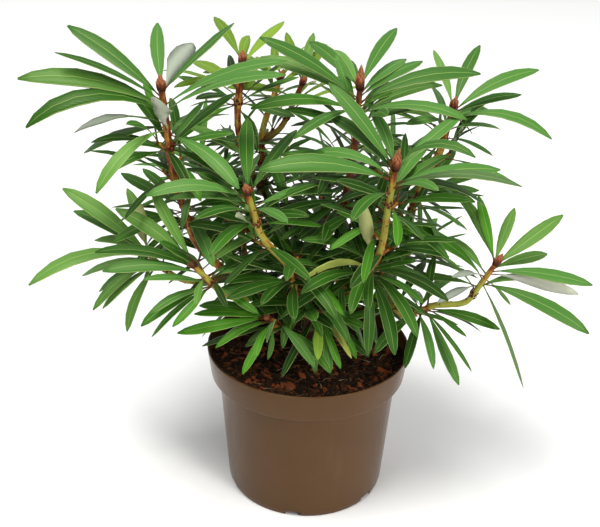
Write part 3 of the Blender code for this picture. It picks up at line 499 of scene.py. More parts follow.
# A shoot: its foot, top and radius, its bud's length, how yellow its wood is, how many of its
# leaves are out of sight, its side twigs, the kind of its leaves, and its leaves in sight as
# (clock, lean, length) or (clock, lean, length, arch), the youngest first.
Shoot = namedtuple("Shoot", "foot top radius bud tone unseen twigs kind seen")
SHOOTS = {
    "upper_left": Shoot((-146, -27, 414), (-151, -30, 476), 4.1, 14, 0.25, 2, 0, "green", (
        (100, -35, 98), (50, -20, 110), (75, -48, 100), (143, -10, 128), (158, 15, 112),
        (19, 10, 130), (171, 10, 142, 24), (14, 20, 132), (189, 15, 134, 44), (137, -60, 100),
        (341, -30, 90), (181, -30, 122), (191, -35, 122), (228, 25, 100, 36), (323, 25, 104),
        (95, 62, 72))),
    "inner_left": Shoot((-131, -8, 322), (-136, -12, 345), 4.3, 0, 0.25, 9, 0, "deep", (
        (153, -20, 86), (139, -35, 84), (8, 10, 84), (350, 25, 80), (20, -35, 86),
        (205, 10, 82))),
    "centre_left": Shoot((-55, -77, 354), (-64, -80, 388), 3.5, 10, 0.80, 2, 0, "green", (
        (94, -38, 106), (59, -36, 108), (180, 10, 100, 26), (161, -50, 82), (175, -25, 95),
        (14, -25, 96), (340, 58, 70), (190, 48, 78))),
    "front_inner": Shoot((-15, -50, 268), (-19, -57, 288), 4.0, 0, 0.70, 9, 0, "deep", (
        (163, 20, 74), (318, 45, 84, 40), (190, 10, 74), (200, 30, 60))),
    "back_left": Shoot((-83, 74, 434), (-79, 80, 478), 4.2, 12, 0.30, 4, 0, "fresh", (
        (120, -38, 92), (55, -35, 94), (85, -50, 82), (165, -50, 76), (182, -40, 82),
        (190, 20, 74))),
    "back_centre": Shoot((-30, 103, 410), (-13, 105, 449), 3.2, 10, 0.55, 4, 0, "fresh", (
        (106, -35, 88), (79, -30, 84), (64, -35, 88), (335, 40, 50), (176, 20, 80))),
    "back_upper": Shoot((-50, 117, 416), (-38, 122, 450), 3.4, 10, 0.55, 6, 0, "fresh", (
        (100, -40, 66), (140, -30, 74), (40, -40, 70))),
    "rear_inner": Shoot((-57, 96, 356), (-58, 101, 378), 4.2, 0, 0.15, 13, 0, "deep", ()),
    "upper_centre": Shoot((44, 1, 432), (45, 0, 474), 3.4, 22, 0.10, 3, 0, "green", (
        (61, -35, 106), (129, -40, 106), (112, -50, 98), (98, -55, 88), (44, -40, 98),
        (36, -35, 108), (150, 5, 118), (155, -10, 114), (15, 0, 128, 24), (32, -45, 100),
        (20, -25, 108), (5, -48, 90), (209, 35, 90, 28), (181, 15, 112, 30),
        (356, 20, 112, 30))),
    "centre_inner": Shoot((33, 10, 326), (36, 8, 352), 4.0, 0, 0.30, 10, 0, "dark", (
        (215, 20, 88), (240, 25, 84), (195, 30, 90), (260, 15, 80), (170, -20, 86),
        (290, 20, 78))),
    "centre_right": Shoot((74, -76, 378), (78, -80, 417), 3.4, 20, 0.75, 2, 0, "green", (
        (107, -38, 84), (127, -10, 110), (137, -25, 102), (43, -15, 98), (12, 35, 86, 55),
        (165, -20, 97, 34), (177, 5, 130, 20), (165, -15, 118), (10, -10, 112), (1, 5, 124, 24),
        (353, 55, 66), (354, -20, 105, 34), (217, 50, 80), (187, -50, 80))),
    "right_inner": Shoot((56, -56, 285), (64, -61, 305), 3.7, 0, 0.60, 6, 0, "deep", (
        (105, 45, 66), (162, 10, 80, 28), (260, 50, 68), (25, -20, 85), (52, -30, 82),
        (12, -45, 80), (190, 20, 74, 36), (339, 15, 86, 26), (305, 25, 88, 24),
        (287, 10, 90), (270, 5, 86))),
    "upper_right": Shoot((139, 30, 410), (146, 30, 446), 3.9, 12, 0.35, 4, 0, "green", (
        (101, -35, 90), (66, -25, 95), (28, -10, 110), (20, -25, 98), (345, -60, 72),
        (349, 5, 108, 34), (18, -45, 86), (190, 40, 66), (162, -20, 66), (150, -40, 70))),
    "right_rear": Shoot((110, 29, 328), (117, 30, 350), 4.2, 0, 0.45, 10, 0, "deep", (
        (6, -30, 86), (355, -20, 72), (50, -30, 85), (20, 15, 80))),
    "far_right": Shoot((176, -28, 255), (199, -20, 290), 3.3, 12, 1.00, 2, 0, "light", (
        (114, -20, 85), (101, -15, 80), (65, -30, 85), (37, -10, 102), (15, -35, 95),
        (354, 0, 112), (349, -15, 112), (131, -45, 80), (180, 45, 62), (321, -30, 52),
        (152, 5, 120, 34), (290, 15, 120, 10), (336, 10, 124), (200, 30, 76),
        (172, -30, 85))),
    "low_right": Shoot((112, -29, 231), (128, -30, 240), 3.6, 0, 0.90, 7, 0, "deep", (
        (80, -20, 62), (345, 5, 82), (326, 20, 54), (295, 5, 90), (250, 25, 72, 26))),
    "left_front": Shoot((-100, -76, 286), (-119, -80, 309), 3.4, 8, 0.80, 2, 0, "green", (
        (121, -15, 95), (65, -35, 80), (145, -5, 104), (139, 55, 72), (35, -20, 82),
        (170, 0, 110, 30), (179, 10, 100), (262, 55, 48), (20, -40, 54))),
    "far_left": Shoot((-158, -4, 266), (-179, 0, 284), 3.2, 8, 0.60, 2, 0, "light", (
        (92, 50, 78), (113, -25, 90), (144, -5, 124), (152, -20, 115), (194, 15, 134, 34),
        (193, -25, 100), (221, 15, 86), (207, -20, 82), (248, 10, 82), (220, 10, 78))),
    "low_front_left": Shoot((-30, -60, 232), (-43, -71, 245), 2.9, 6, 0.70, 2, 0, "grown", (
        (190, 5, 96), (178, -10, 82), (172, -25, 88), (207, 15, 66), (247, 45, 55),
        (241, 20, 66), (262, 20, 42), (314, 30, 70, 28), (205, -30, 84))),
    "low_front": Shoot((8, -45, 232), (10, -61, 248), 2.8, 6, 0.60, 3, 0, "grown", (
        (268, 40, 60), (307, 20, 60), (19, -10, 62), (293, 10, 62), (283, 10, 62),
        (312, -10, 64), (268, 5, 62))),
    "rear_left_inner": Shoot((-80, 45, 300), (-88, 50, 326), 3.2, 8, 0.40, 11, 0, "dark", ()),
    "rear_middle_inner": Shoot((10, 50, 300), (12, 56, 328), 3.0, 8, 0.40, 11, 0, "dark", ()),
    "rear_left": Shoot((-118, 105, 318), (-130, 116, 346), 3.3, 10, 0.50, 12, 2, "green", ()),
    "rear_right": Shoot((88, 105, 325), (98, 118, 353), 3.3, 10, 0.50, 12, 2, "green", ()),
    "rear_middle": Shoot((20, 135, 300), (24, 152, 324), 3.2, 10, 0.50, 12, 2, "green", ()),
    "low_rear_left": Shoot((-88, 100, 232), (-102, 114, 246), 3.0, 8, 0.60, 10, 1, "grown", ()),
    "low_rear_right": Shoot((108, 92, 232), (122, 104, 247), 3.0, 8, 0.60, 10, 1, "grown", ()),
}
# Finer twigs that fill the inside of the crown: how many each bough carries
FINE_TWIGS = {
    "left_bough": 5, "upper_left_bough": 4, "left_front_bough": 2, "front_bough": 3,
    "centre_left_bough": 3, "right_bough": 5, "upper_right_bough": 3, "right_front_bough": 3,
    "centre_right_bough": 4, "low_front_bough": 2, "low_front_left_bough": 2, "low_right_bough": 2,
    "rear_bough": 6, "back_left_bough": 3, "back_upper_bough": 1, "centre_bough": 5,
    "upper_centre_bough": 4, "rear_left_inner_bough": 2, "rear_middle_inner_bough": 3,
    "rear_left_bough": 3, "rear_right_bough": 3, "rear_middle_bough": 3, "low_rear_left_bough": 3,
    "low_rear_right_bough": 3,
}
GOLDEN_ANGLE = math.radians(137.5)
GOLDEN_SHARE = 0.618
TWIG_LENGTH, TWIG_SPREAD = 30.0, (0.9, 1.1)
TWIG_FIRST, TWIG_GAP = 0.3, 0.2
TWIG_SHARE, TWIG_THINNING = 0.85, 0.2
TWIG_POINTS = 8
TWIG_RISE = math.radians(35.0)
SEED = 40
ROUTE_STEP = 3.0
FINE_FIRST, FINE_SPAN = 0.16, 0.74
FINE_RISE = (0.3, 0.8)
FINE_REACH = (14.0, 24.0)
FINE_RADIUS, FINE_THINNING, FINE_TONE = 2.3, 0.8, 0.35
FINE_SWAY, FINE_TURN, FINE_MARGIN = 0.3, 0.1, 15.0
LEAST_ROUTE = 8
SCARRED_FROM, SCARRED_TO = 0.12, 0.97
BOUGH_SWELL, SWELL_LOSS = 1.32, 0.12
COLLAR, COLLAR_STEPS = 0.16, 1.6
KNOT, KNOT_WAVE = 0.035, 0.9
SMALL_KNOT, SMALL_WAVE = 0.03, 2.3
TONED_FROM, FOOT_TONE, TONE_GAIN = 0.25, 0.4, 2.4
SHOOT_FIRST, SHOOT_POINTS = 0.08, 9
SHOOT_TAPER, SHOOT_KNOT, SHOOT_WAVE = 0.16, 0.05, 19.0
TONE_LOSS = 0.6
STUB_TONE = 0.15
TRUNK_TONE = 0.1
TRUNK_RADIUS, TRUNK_FLARE, FLARE_FALL = 8.0, 3.4, 7.0
TRUNK_KNOT, TRUNK_WAVE = 0.3, 21.0
TRUNK_POINTS = 20
TRUNK_TOP = ((2.0, 7.2), (4.0, 5.4), (5.2, 3.0))
OLD_BOUGH_AGE, CARRIED_AGE, YOUNG_AGE = 1.0, 0.62, 0.30
TRUNK_FOOT = 159.0


def far_bearing(part, margin):
    """A bearing on the plant's far side, this part of the way from its right to its left."""
    return math.radians(margin + (180.0 - 2.0 * margin) * (part % 1.0))


def bezier(start, leave, arrive, end, share):
    near = start.lerp(leave, share)
    middle = leave.lerp(arrive, share)
    return near.lerp(middle, share).lerp(middle.lerp(arrive.lerp(end, share), share), share)


def bough_route(name, routes):
    """The points of a bough in millimetres, and what it grows out of, nearest point first."""
    bough = BOUGHS[name]
    foot, top = Vector(SHOOTS[bough.shoot].foot), Vector(SHOOTS[bough.shoot].top)
    arrival = (top - foot).normalized()
    inside = []
    if bough.parent in STUB_DIRECTIONS:
        leaving = Vector(STUB_DIRECTIONS[bough.parent]).normalized()
        start = FORK + leaving * STUB_LENGTH
        inside = [FORK, FORK + leaving * STUB_LENGTH * 0.5]
    elif bough.parent in SHOOTS:
        carrier = SHOOTS[bough.parent]
        leaving = (Vector(carrier.top) - Vector(carrier.foot)).normalized()
        start = Vector(carrier.top)
    else:
        route = routes[bough.parent]
        place = bough.along * (len(route) - 1)
        index = int(place)
        seat = route[index].lerp(route[index + 1], place - index)
        along = (route[index + 1] - route[index]).normalized()
        across = foot - seat
        across = (across - along * across.dot(along)).normalized()
        leaving = (across + BRANCH_LEAN * along).normalized()
        parent = BOUGHS[bough.parent]
        thick = parent.start_radius + bough.along * (parent.end_radius - parent.start_radius)
        slant = leaving.dot(along)
        start = seat + leaving * (thick + bough.start_radius * slant) / math.sqrt(1 - slant * slant)
        inside = [seat, seat.lerp(start, 0.5)]
    first, last = start + leaving * BOUGH_LEAD, foot - arrival * BOUGH_LEAD
    handle = BOUGH_REACH * (last - first).length
    leave, arrive = first + leaving * handle, last - arrival * handle
    bend = [bezier(first, leave, arrive, last, step / BOUGH_STEPS) for step in range(BOUGH_STEPS + 1)]
    routes[name] = [start] + bend + [foot]
    fine = max(LEAST_ROUTE, round((last - first).length / ROUTE_STEP))
    smooth = [bezier(first, leave, arrive, last, step / fine) for step in range(fine + 1)]
    return inside, [start] + smooth + [foot]


def shoot_twigs(shoot, rng):
    """The stem and the side twigs of a shoot, each as its foot and its top."""
    foot, top = Vector(shoot.foot), Vector(shoot.top)
    twigs = [(foot, top)]
    turn = rng.uniform(0.0, math.tau)
    for index in range(shoot.twigs):
        reach = rng.uniform(*TWIG_SPREAD) * TWIG_LENGTH
        bearing = turn + index * GOLDEN_ANGLE
        away = Vector((math.cos(bearing), math.sin(bearing), 0.0)) * math.cos(TWIG_RISE)
        start = foot.lerp(top, TWIG_FIRST + TWIG_GAP * index)
        twigs.append((start, start + (away + Vector((0.0, 0.0, math.sin(TWIG_RISE)))) * reach))
    return twigs


def limb_mesh(name, limbs):
    """Limbs as lines of points, each with its thickness, tone and age for the tree to read."""
    places, edges, marks = [], [], []
    for limb in limbs:
        edges += [(len(places) + step, len(places) + step + 1) for step in range(len(limb) - 1)]
        places += [point * MM for point, *_ in limb]
        marks += [mark for _, *mark in limb]
    mesh = bpy.data.meshes.new(name)
    mesh.from_pydata(places, edges, [])
    for number, label in enumerate(("thick", "tone", "age", "leafless")):
        layer = mesh.attributes.new(label, "FLOAT", "POINT")
        layer.data.foreach_set("value", [float(mark[number]) for mark in marks])
    return new_object(name, mesh)


def read(tree, label):
    """A number that a geometry keeps, read in its tree."""
    return add_node(tree, "GeometryNodeInputNamedAttribute", {"Name": label}, data_type="FLOAT").outputs[0]


wood_rng = random.Random(21)
routes, chains, twig_limbs, plans, fine_twigs = {}, {}, [], {}, []
for name, bough in BOUGHS.items():
    shoot = SHOOTS[bough.shoot]
    inside, route = bough_route(name, routes)
    if bough.parent in SHOOTS:
        chain = chains.pop(bough.parent)
        age_start = CARRIED_AGE
    else:
        parent_tone = STUB_TONE if bough.parent in STUB_DIRECTIONS else shoot.tone
        chain = [(point, bough.start_radius * (BOUGH_SWELL - SWELL_LOSS * number) * MM, parent_tone,
                  OLD_BOUGH_AGE, 0.0) for number, point in enumerate(inside)]
        age_start = OLD_BOUGH_AGE
    for number in range(FINE_TWIGS.get(name, 0)):
        share = FINE_FIRST + FINE_SPAN * number / max(FINE_TWIGS[name] - 1, 1)
        seat = route[round(share * (len(route) - 1))]
        bearing = far_bearing(number * GOLDEN_SHARE + wood_rng.random() * FINE_SWAY + FINE_TURN,
                              FINE_MARGIN)
        bearing *= -1.0 if "front" in name and "low" in name else 1.0
        away = Vector((math.cos(bearing), math.sin(bearing), wood_rng.uniform(*FINE_RISE))).normalized()
        fine_twigs.append((seat, seat + away * wood_rng.uniform(*FINE_REACH)))
    wave = wood_rng.uniform(0.0, math.tau)
    for step, point in enumerate(route):
        share = step / (len(route) - 1)
        radius = bough.start_radius + share * (bough.end_radius - bough.start_radius)
        collar = 1.0 + COLLAR * math.exp(-step / COLLAR_STEPS) if inside else 1.0
        knots = (1.0 + KNOT * math.sin(KNOT_WAVE * step + wave)
                 + SMALL_KNOT * math.sin(SMALL_WAVE * step + 2 * wave))
        tone = shoot.tone * (1.0 if share > TONED_FROM else FOOT_TONE + TONE_GAIN * share)
        age = age_start + share * (YOUNG_AGE - age_start)
        leafless = 1.0 if SCARRED_FROM < share < SCARRED_TO else 0.0
        chain.append((point, radius * collar * knots * MM, tone, age, leafless))
    foot, top = Vector(shoot.foot), Vector(shoot.top)
    for share in np.linspace(SHOOT_FIRST, 1.0, SHOOT_POINTS):
        knots = 1.0 + SHOOT_KNOT * math.sin(SHOOT_WAVE * share)
        radius = shoot.radius * (1.0 - SHOOT_TAPER * share) * knots
        tone = shoot.tone * (1.0 - TONE_LOSS * share)
        chain.append((foot.lerp(top, share), radius * MM, tone, YOUNG_AGE * (1.0 - share), 0.0))
    chains[bough.shoot] = chain


def twig_limb(start, end, radius, thinning, tone):
    """A twig as a line of points, thinner and younger towards its end."""
    return [(start.lerp(end, share), (radius - thinning * share) * MM, tone, YOUNG_AGE * (1.0 - share), 0.0)
            for share in np.linspace(0.0, 1.0, TWIG_POINTS)]


for index, (name, shoot) in enumerate(SHOOTS.items()):
    rng = random.Random(SEED + index)
    twigs = shoot_twigs(shoot, rng)
    plans[name] = (twigs, rng)
    for start, end in twigs[1:]:
        twig_limbs.append(twig_limb(start, end, shoot.radius * TWIG_SHARE, shoot.radius * TWIG_THINNING,
                                    shoot.tone))
for start, end in fine_twigs:
    twig_limbs.append(twig_limb(start, end, FINE_RADIUS, FINE_THINNING, FINE_TONE))

trunk_line = []
for share in np.linspace(0.0, 1.0, TRUNK_POINTS):
    point = Vector((FORK.x * share ** 2, FORK.y * share ** 2, TRUNK_FOOT + share * (FORK.z - TRUNK_FOOT)))
    flare = TRUNK_FLARE * math.exp(-share * FLARE_FALL)
    radius = TRUNK_RADIUS + flare + TRUNK_KNOT * math.sin(share * TRUNK_WAVE)
    trunk_line.append((point, radius * MM, TRUNK_TONE, OLD_BOUGH_AGE, 0.0))
for rise, radius in TRUNK_TOP:
    trunk_line.append((FORK + Vector((0.0, 0.0, rise)), radius * MM, TRUNK_TONE, OLD_BOUGH_AGE, 0.0))


def circle_point(tree, turn, climb=0.0):
    """A place on a circle of radius 1 at a turn, and at a climb along its axis."""
    east, north = calculate(tree, "COSINE", turn), calculate(tree, "SINE", turn)
    return add_node(tree, "ShaderNodeCombineXYZ", {0: east, 1: north, 2: climb}).outputs[0]


def scale_vector(tree, vector, factor):
    sockets = {0: vector, "Scale": factor}
    return add_node(tree, "ShaderNodeVectorMath", sockets, operation="SCALE").outputs[0]


barked, given = new_tree("Bark on limbs", sides="Int", relief="Float", grain="Float", seed="Float",
                         material="Material")
lines = add_node(barked, "GeometryNodeMeshToCurve", {0: given["Geometry"]}).outputs[0]
run = add_node(barked, "GeometryNodeSplineParameter").outputs["Length"]
ring = add_node(barked, "GeometryNodeCurvePrimitiveCircle", {"Resolution": given["Sides"], "Radius": 1.0})
around = add_node(barked, "GeometryNodeSplineParameter").outputs["Factor"]
skin = add_node(barked, "GeometryNodeCurveToMesh", {
    "Curve": store_mark(barked, lines, "run", run),
    "Profile Curve": store_mark(barked, ring.outputs[0], "around", around),
    "Scale": read(barked, "thick"), "Fill Caps": True})
turn = calculate(barked, "MULTIPLY", read(barked, "around"), math.tau)
climb = calculate(barked, "MULTIPLY", read(barked, "run"), given["Grain"])
rough = add_noise(barked, circle_point(barked, turn, climb), 2.6, 3.0, seed=given["Seed"])
aged = calculate(barked, "MULTIPLY_ADD", read(barked, "age"), 0.7, 0.4)
depth = calculate(barked, "MULTIPLY", calculate(barked, "ADD", rough, -0.5), aged)
depth = calculate(barked, "MULTIPLY", depth, given["Relief"])
offset = scale_vector(barked, add_node(barked, "GeometryNodeInputNormal").outputs[0], depth)
ribbed = move_points(barked, skin.outputs[0], offset)
smooth = add_node(barked, "GeometryNodeSetShadeSmooth", {0: ribbed})
end_tree(barked, smooth.outputs[0], given["Material"])

# bark: red-brown when young, orange to olive yellow on some limbs, grey-brown at the foot
bark, tree, shader = new_material("bark", (0.20, 0.07, 0.025), 0.55, Specular_IOR_Level=0.25)
place = own_place(tree)
blotch = add_noise(tree, place, 95.0, 5.0, 0.62)
flecks = add_noise(tree, place, 420.0, 3.0)
turn = calculate(tree, "MULTIPLY", skin_mark(tree, "around"), math.tau)
climb = calculate(tree, "MULTIPLY", skin_mark(tree, "run"), 26.0)
streak = add_noise(tree, circle_point(tree, turn, climb), 1.9, 4.0, 0.6)
shift = calculate(tree, "MULTIPLY_ADD", calculate(tree, "ADD", blotch, streak), 1.9, -1.84)
mixed = calculate(tree, "ADD", skin_mark(tree, "tone"), shift)
young = ramp(tree, mixed, (0.0, (0.085, 0.018, 0.005)), (0.25, (0.230, 0.055, 0.010)),
             (0.48, (0.350, 0.155, 0.018)), (0.72, (0.400, 0.290, 0.040)), (1.0, (0.320, 0.350, 0.050)))
old = ramp(tree, flecks, (0.35, (0.030, 0.014, 0.006)), (0.65, (0.090, 0.044, 0.018)))
ageing = add_node(tree, "ShaderNodeMapRange", {"Value": skin_mark(tree, "age"), "From Min": 0.55,
                                               "From Max": 1.05})
weathered = add_node(tree, "ShaderNodeMix", {"Factor": ageing.outputs[0], 6: young, 7: old},
                     data_type="RGBA")
tree.links.new(weathered.outputs[2], shader.inputs["Base Color"])
add_bump(tree, shader, calculate(tree, "ADD", flecks, blotch), 0.45, 0.6 * MM)

wood = limb_mesh("trunk_and_boughs", [trunk_line] + list(chains.values()))
scar_lines = wood.data.copy()
grow(wood, barked, sides=18, relief=0.0016, grain=140.0, seed=2.0, material=bark)
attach(wood, "root")
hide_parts("trunk", *BOUGHS)
twigs_piece = limb_mesh("side_twigs", twig_limbs)
grow(twigs_piece, barked, sides=12, relief=0.0008, grain=140.0, seed=6.0, material=bark)
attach(twigs_piece, "root")

# Leaf scars: where a leaf has dropped, a small corky half-moon stands out of the bark. They
# climb the limb in the same golden spiral as the leaves.
SCAR_SHAPE = (1.0, 0.55, 0.45)
SCAR_SEAT = 0.94
MOSTLY = 0.6
scarred, given = new_tree("Leaf scars", spacing="Float", width="Float", material="Material")
lines = add_node(scarred, "GeometryNodeMeshToCurve", {0: given["Geometry"]}).outputs[0]
places = add_node(scarred, "GeometryNodeCurveToPoints", {"Curve": lines, "Length": given["Spacing"]},
                  mode="LENGTH").outputs
number = add_node(scarred, "GeometryNodeInputIndex").outputs[0]
spoke = circle_point(scarred, calculate(scarred, "MULTIPLY", number, GOLDEN_ANGLE))
turned_out, along = (
    add_node(scarred, "FunctionNodeRotateVector", {"Vector": way, "Rotation": places["Rotation"]}).outputs[0]
    for way in (spoke, (0.0, 0.0, 1.0)))
reach = calculate(scarred, "MULTIPLY", read(scarred, "thick"), SCAR_SEAT)
seated = move_points(scarred, places["Points"], scale_vector(scarred, turned_out, reach))
facing = add_node(scarred, "FunctionNodeAlignRotationToVector", {"Vector": turned_out}, axis="Z").outputs[0]
square = add_node(scarred, "FunctionNodeAlignRotationToVector", {"Rotation": facing, "Vector": along},
                  axis="Y", pivot_axis="Z").outputs[0]
boss = add_node(scarred, "GeometryNodeMeshUVSphere", {"Segments": 10, "Rings": 6, "Radius": 1.0})
dotted = add_node(scarred, "GeometryNodeInstanceOnPoints", {
    "Points": seated, "Selection": compare(scarred, "GREATER_THAN", read(scarred, "leafless"), MOSTLY),
    "Instance": boss.outputs[0], "Rotation": square,
    "Scale": scale_vector(scarred, SCAR_SHAPE, given["Width"])})
end_tree(scarred, dotted.outputs[0], given["Material"])
cork, tree, shader = new_material("scar_cork", (0.22, 0.10, 0.045), 0.75)
pores = add_noise(tree, own_place(tree), 500.0, 2.0)
paint(tree, shader, pores, (0.35, (0.10, 0.035, 0.014)), (0.65, (0.32, 0.15, 0.06)))
scars = new_object("leaf_scars", scar_lines)
grow(scars, scarred, spacing=0.0062, width=0.0016, material=cork)
scars.data.shade_smooth()
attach(scars, "root")

# The leaves: long, narrow and leathery, on short red stalks, in whorls that spread from each
# shoot's top. The blade is green above with a pale midrib and margin, and silvery below.
VIEW_RISE = math.radians(25.5)
BARE_FOOT = 6.0
TWIG_LEAVES = 4
TWIG_LEAF_LENGTH, TWIG_LENGTHS = 73.0, (0.88, 1.12)
TWIG_LEAF_RISE, TWIG_LEAF_FALL = 40.0, 12.0
FINE_TWIG_LEAVES = 6
# Leaves out of sight: the range of their rise in degrees and of their length, on the far side
# of a whorl that shows, and on a shoot that carries another bough
BEHIND_LEAF = (-8.0, 22.0), (80.0, 100.0)
OLD_LEAF = (-42.0, 16.0), (72.0, 92.0)
INNER_LENGTHS = (62.0, 88.0)
INNER_KINDS = ("dark", "deep", "grown")
INNER_ODDS = (0.5, 0.35, 0.15)
INNER_RISE, INNER_FALL, INNER_SWAY = 38.0, 13.0, (-8.0, 8.0)
INNER_ROLL, INNER_WIDTHS, INNER_ARCHES = 14.0, (0.88, 1.08), (1.2, 3.6)
TOP_LEAF, INNER_GAP = 0.03, 0.12
LONE_KINDS = ("deep", "grown", "green")
LONE_ROLL = 12.0
# On a shoot with every leaf out of sight, leaves fall and lengthen with age
OPEN_RISE, OPEN_FALL = 52.0, 62.0
OPEN_LENGTH, OPEN_GAIN = 72.0, 30.0
SWAY = (-6.0, 6.0)
BEHIND_MARGIN = 10.0
ARCH_SPREAD, ROLL_SPREAD, WIDTHS = (-3.0, 5.0), 9.0, (0.92, 1.08)
KIND_ODDS = (0.62, 0.20, 0.18)
LIMB_GAP = 2.0
HALF_TESTED = 5.0
TESTED_FROM, TESTED_POINTS = 0.22, 14
OVER_POT, OVER_SOIL = 117.0, 108.0
SOIL_GAP, RIM_GAP = 2.5, 1.5
TRIED_TURNS = (0, 5, -5, 10, -10, 15, -15, 20, -20, 26, -26)
YOUNG_ARCH = math.radians(8.0)
OLD_ARCH = math.radians(24.0)
LONE_ARCH = OLD_ARCH * 0.6
LEAF_HALF = 0.076
LONE_HALF = LEAF_HALF * 1.05
FACING = 0.42
ROLL_FOOT, ROLL_GAIN, ROLL_MOST = 0.55, 0.9, 1.1
BLUNT_TIP = 0.13
OUTLINE_FOOT, OUTLINE_TIP, OUTLINE_PEAK = 0.88, 0.62, 0.369
EVEN, CROWDED = 0.55, 0.45
BOW = 2.5
FOLD = (0.08, 0.36)
CURL = 0.20
WAVE, WAVES, WAVE_STARTS = 0.06, (9.0, 15.0), (0.0, 6.0)
GROOVE, GROOVE_HALF, GROOVE_FADE = 0.25, 0.1, 4.0
STALK_LENGTH = 11.0
STALK_RADIUS = 1.05
STALK_SUNK, STALK_OVERLAP, STALK_TAPER = 1.5, 1.15, (1.25, 0.85)
BLADE_THICKNESS, KEEL = 0.5, 0.5
ACROSS_TOP = np.array((-1.0, -0.91, -0.48, -0.045, 0.045, 0.48, 0.91, 1.0))
WIDE = len(ACROSS_TOP)
STATIONS = 8
STALK_STATIONS = 3
STALK_SIDES = 3
UP = Vector((0.0, 0.0, 1.0))
Leaf = namedtuple("Leaf", "base chord arch roll half kind")
# Upper side and underside of each kind of leaf
LEAF_COLOURS = {
    "dark": ((0.013, 0.062, 0.004), (0.150, 0.200, 0.100)),
    "deep": ((0.026, 0.110, 0.008), (0.210, 0.260, 0.140)),
    "grown": ((0.040, 0.175, 0.007), (0.250, 0.320, 0.150)),
    "green": ((0.050, 0.160, 0.024), (0.320, 0.380, 0.250)),
    "light": ((0.085, 0.215, 0.034), (0.370, 0.420, 0.290)),
    # the fresh kind is partly the young leaves' own yellow-green and partly a painted glow, as of light
    # shining through them from behind
    "fresh": ((0.135, 0.255, 0.020), (0.300, 0.390, 0.140)),
    # the silvery kind's grey-green upper side is a painted sheen; its underside is its own pale colour
    "silvery": ((0.095, 0.185, 0.060), (0.240, 0.300, 0.210)),
    "yellowed": ((0.250, 0.310, 0.050), (0.330, 0.370, 0.130)),
}
# Some leaves of a shoot are of another kind than the rest
NEIGHBOUR_KINDS = {"dark": ("deep", "dark"), "deep": ("dark", "green"), "grown": ("green", "deep"),
                   "green": ("light", "deep"), "light": ("green", "grown"), "fresh": ("light", "green")}
# A few leaves stand out: their kind, how far they turn away from the viewer, width and length
# the silvery ones show a painted sheen on their upper side
ODD_LEAVES = {
    ("upper_left", 2): ("silvery", 165, 1.35, 1.1),
    ("upper_left", 11): ("silvery", 122, 0.8, 1.0),
    ("upper_left", 15): ("light", 175, 2.0, 1.0),
    ("centre_right", 9): ("silvery", 52, 0.9, 1.0),
    ("right_inner", 0): ("yellowed", 165, 1.1, 1.3),
    ("right_inner", 6): ("yellowed", 35, 0.9, 1.0),
    ("low_front", 1): ("yellowed", 40, 0.9, 1.0),
    ("low_front", 0): ("fresh", 20, 1.2, 1.0),
    ("far_left", 0): ("yellowed", 165, 1.5, 1.1),
    ("far_right", 0): ("light", 20, 1.0, 1.0),
    ("far_right", 6): ("light", 150, 0.9, 1.0),
    ("far_right", 8): ("silvery", 150, 0.8, 1.0),
    ("far_right", 11): ("silvery", 62, 0.8, 1.0),
    ("far_right", 12): ("green", 25, 0.95, 1.0),
    ("far_right", 13): ("silvery", 160, 1.0, 0.8),
}
# Leaves that stand on their own along a bough: how far along it, clock, lean and length
LONE_LEAVES = {
    "upper_left_bough": ((0.95, 40, 10, 88), (1.0, 10, 30, 78), (0.98, 335, 20, 84), (0.9, 62, 25, 62),
                         (1.0, 112, 15, 70), (0.9, 205, 20, 74)),
    "back_left_bough": ((0.95, 200, 10, 80), (0.9, 216, 22, 76), (0.97, 160, 20, 72), (0.9, 345, 25, 72),
                        (0.95, 22, 15, 74)),
    "upper_centre_bough": ((0.95, 170, 20, 80), (0.97, 96, 18, 78), (0.95, 15, 20, 86)),
    "left_front_bough": ((0.9, 205, 20, 72), (0.95, 228, 25, 62), (0.97, 176, 25, 74), (0.9, 158, 20, 66),
                         (0.95, 330, 20, 58), (0.95, 211, 10, 84)),
}
VIEWER = Vector((0.0, -math.cos(VIEW_RISE), math.sin(VIEW_RISE)))
EYE = Vector((-15.0, -939.0, 724.0))
MOST_TURNED = math.radians(72.0)


def view_direction(clock, lean):
    """A direction given as it looks from the front: clock in the view, lean out of it."""
    clock, lean = math.radians(clock), math.radians(lean)
    up = Vector((0.0, math.sin(VIEW_RISE), math.cos(VIEW_RISE)))
    across = Vector((1.0, 0.0, 0.0)) * math.cos(clock) + up * math.sin(clock)
    return across * math.cos(lean) + VIEWER * math.sin(lean)


def level_direction(bearing, rise):
    flat = math.cos(rise)
    return Vector((math.cos(bearing) * flat, math.sin(bearing) * flat, math.sin(rise)))


def turn_towards(direction, target):
    """How far a leaf along a direction would roll to face a target, from facing upwards."""
    above = UP - direction * direction.z
    toward = target - direction * target.dot(direction)
    return math.atan2(-direction.dot(above.cross(toward)), above.dot(toward))


def outward(point):
    """The direction away from the middle of the crown, level with the viewer's rise."""
    return level_direction(math.atan2(point.y, point.x), VIEW_RISE)


def broad_side(leaf):
    """The leaf, rolled no further than leaves some of its face to the viewer."""
    facing = turn_towards(leaf.chord.normalized(), (EYE - leaf.base - leaf.chord / 2.0).normalized())
    away = (leaf.roll - facing + math.pi) % math.tau - math.pi
    return leaf._replace(roll=facing + max(-MOST_TURNED, min(MOST_TURNED, away)))


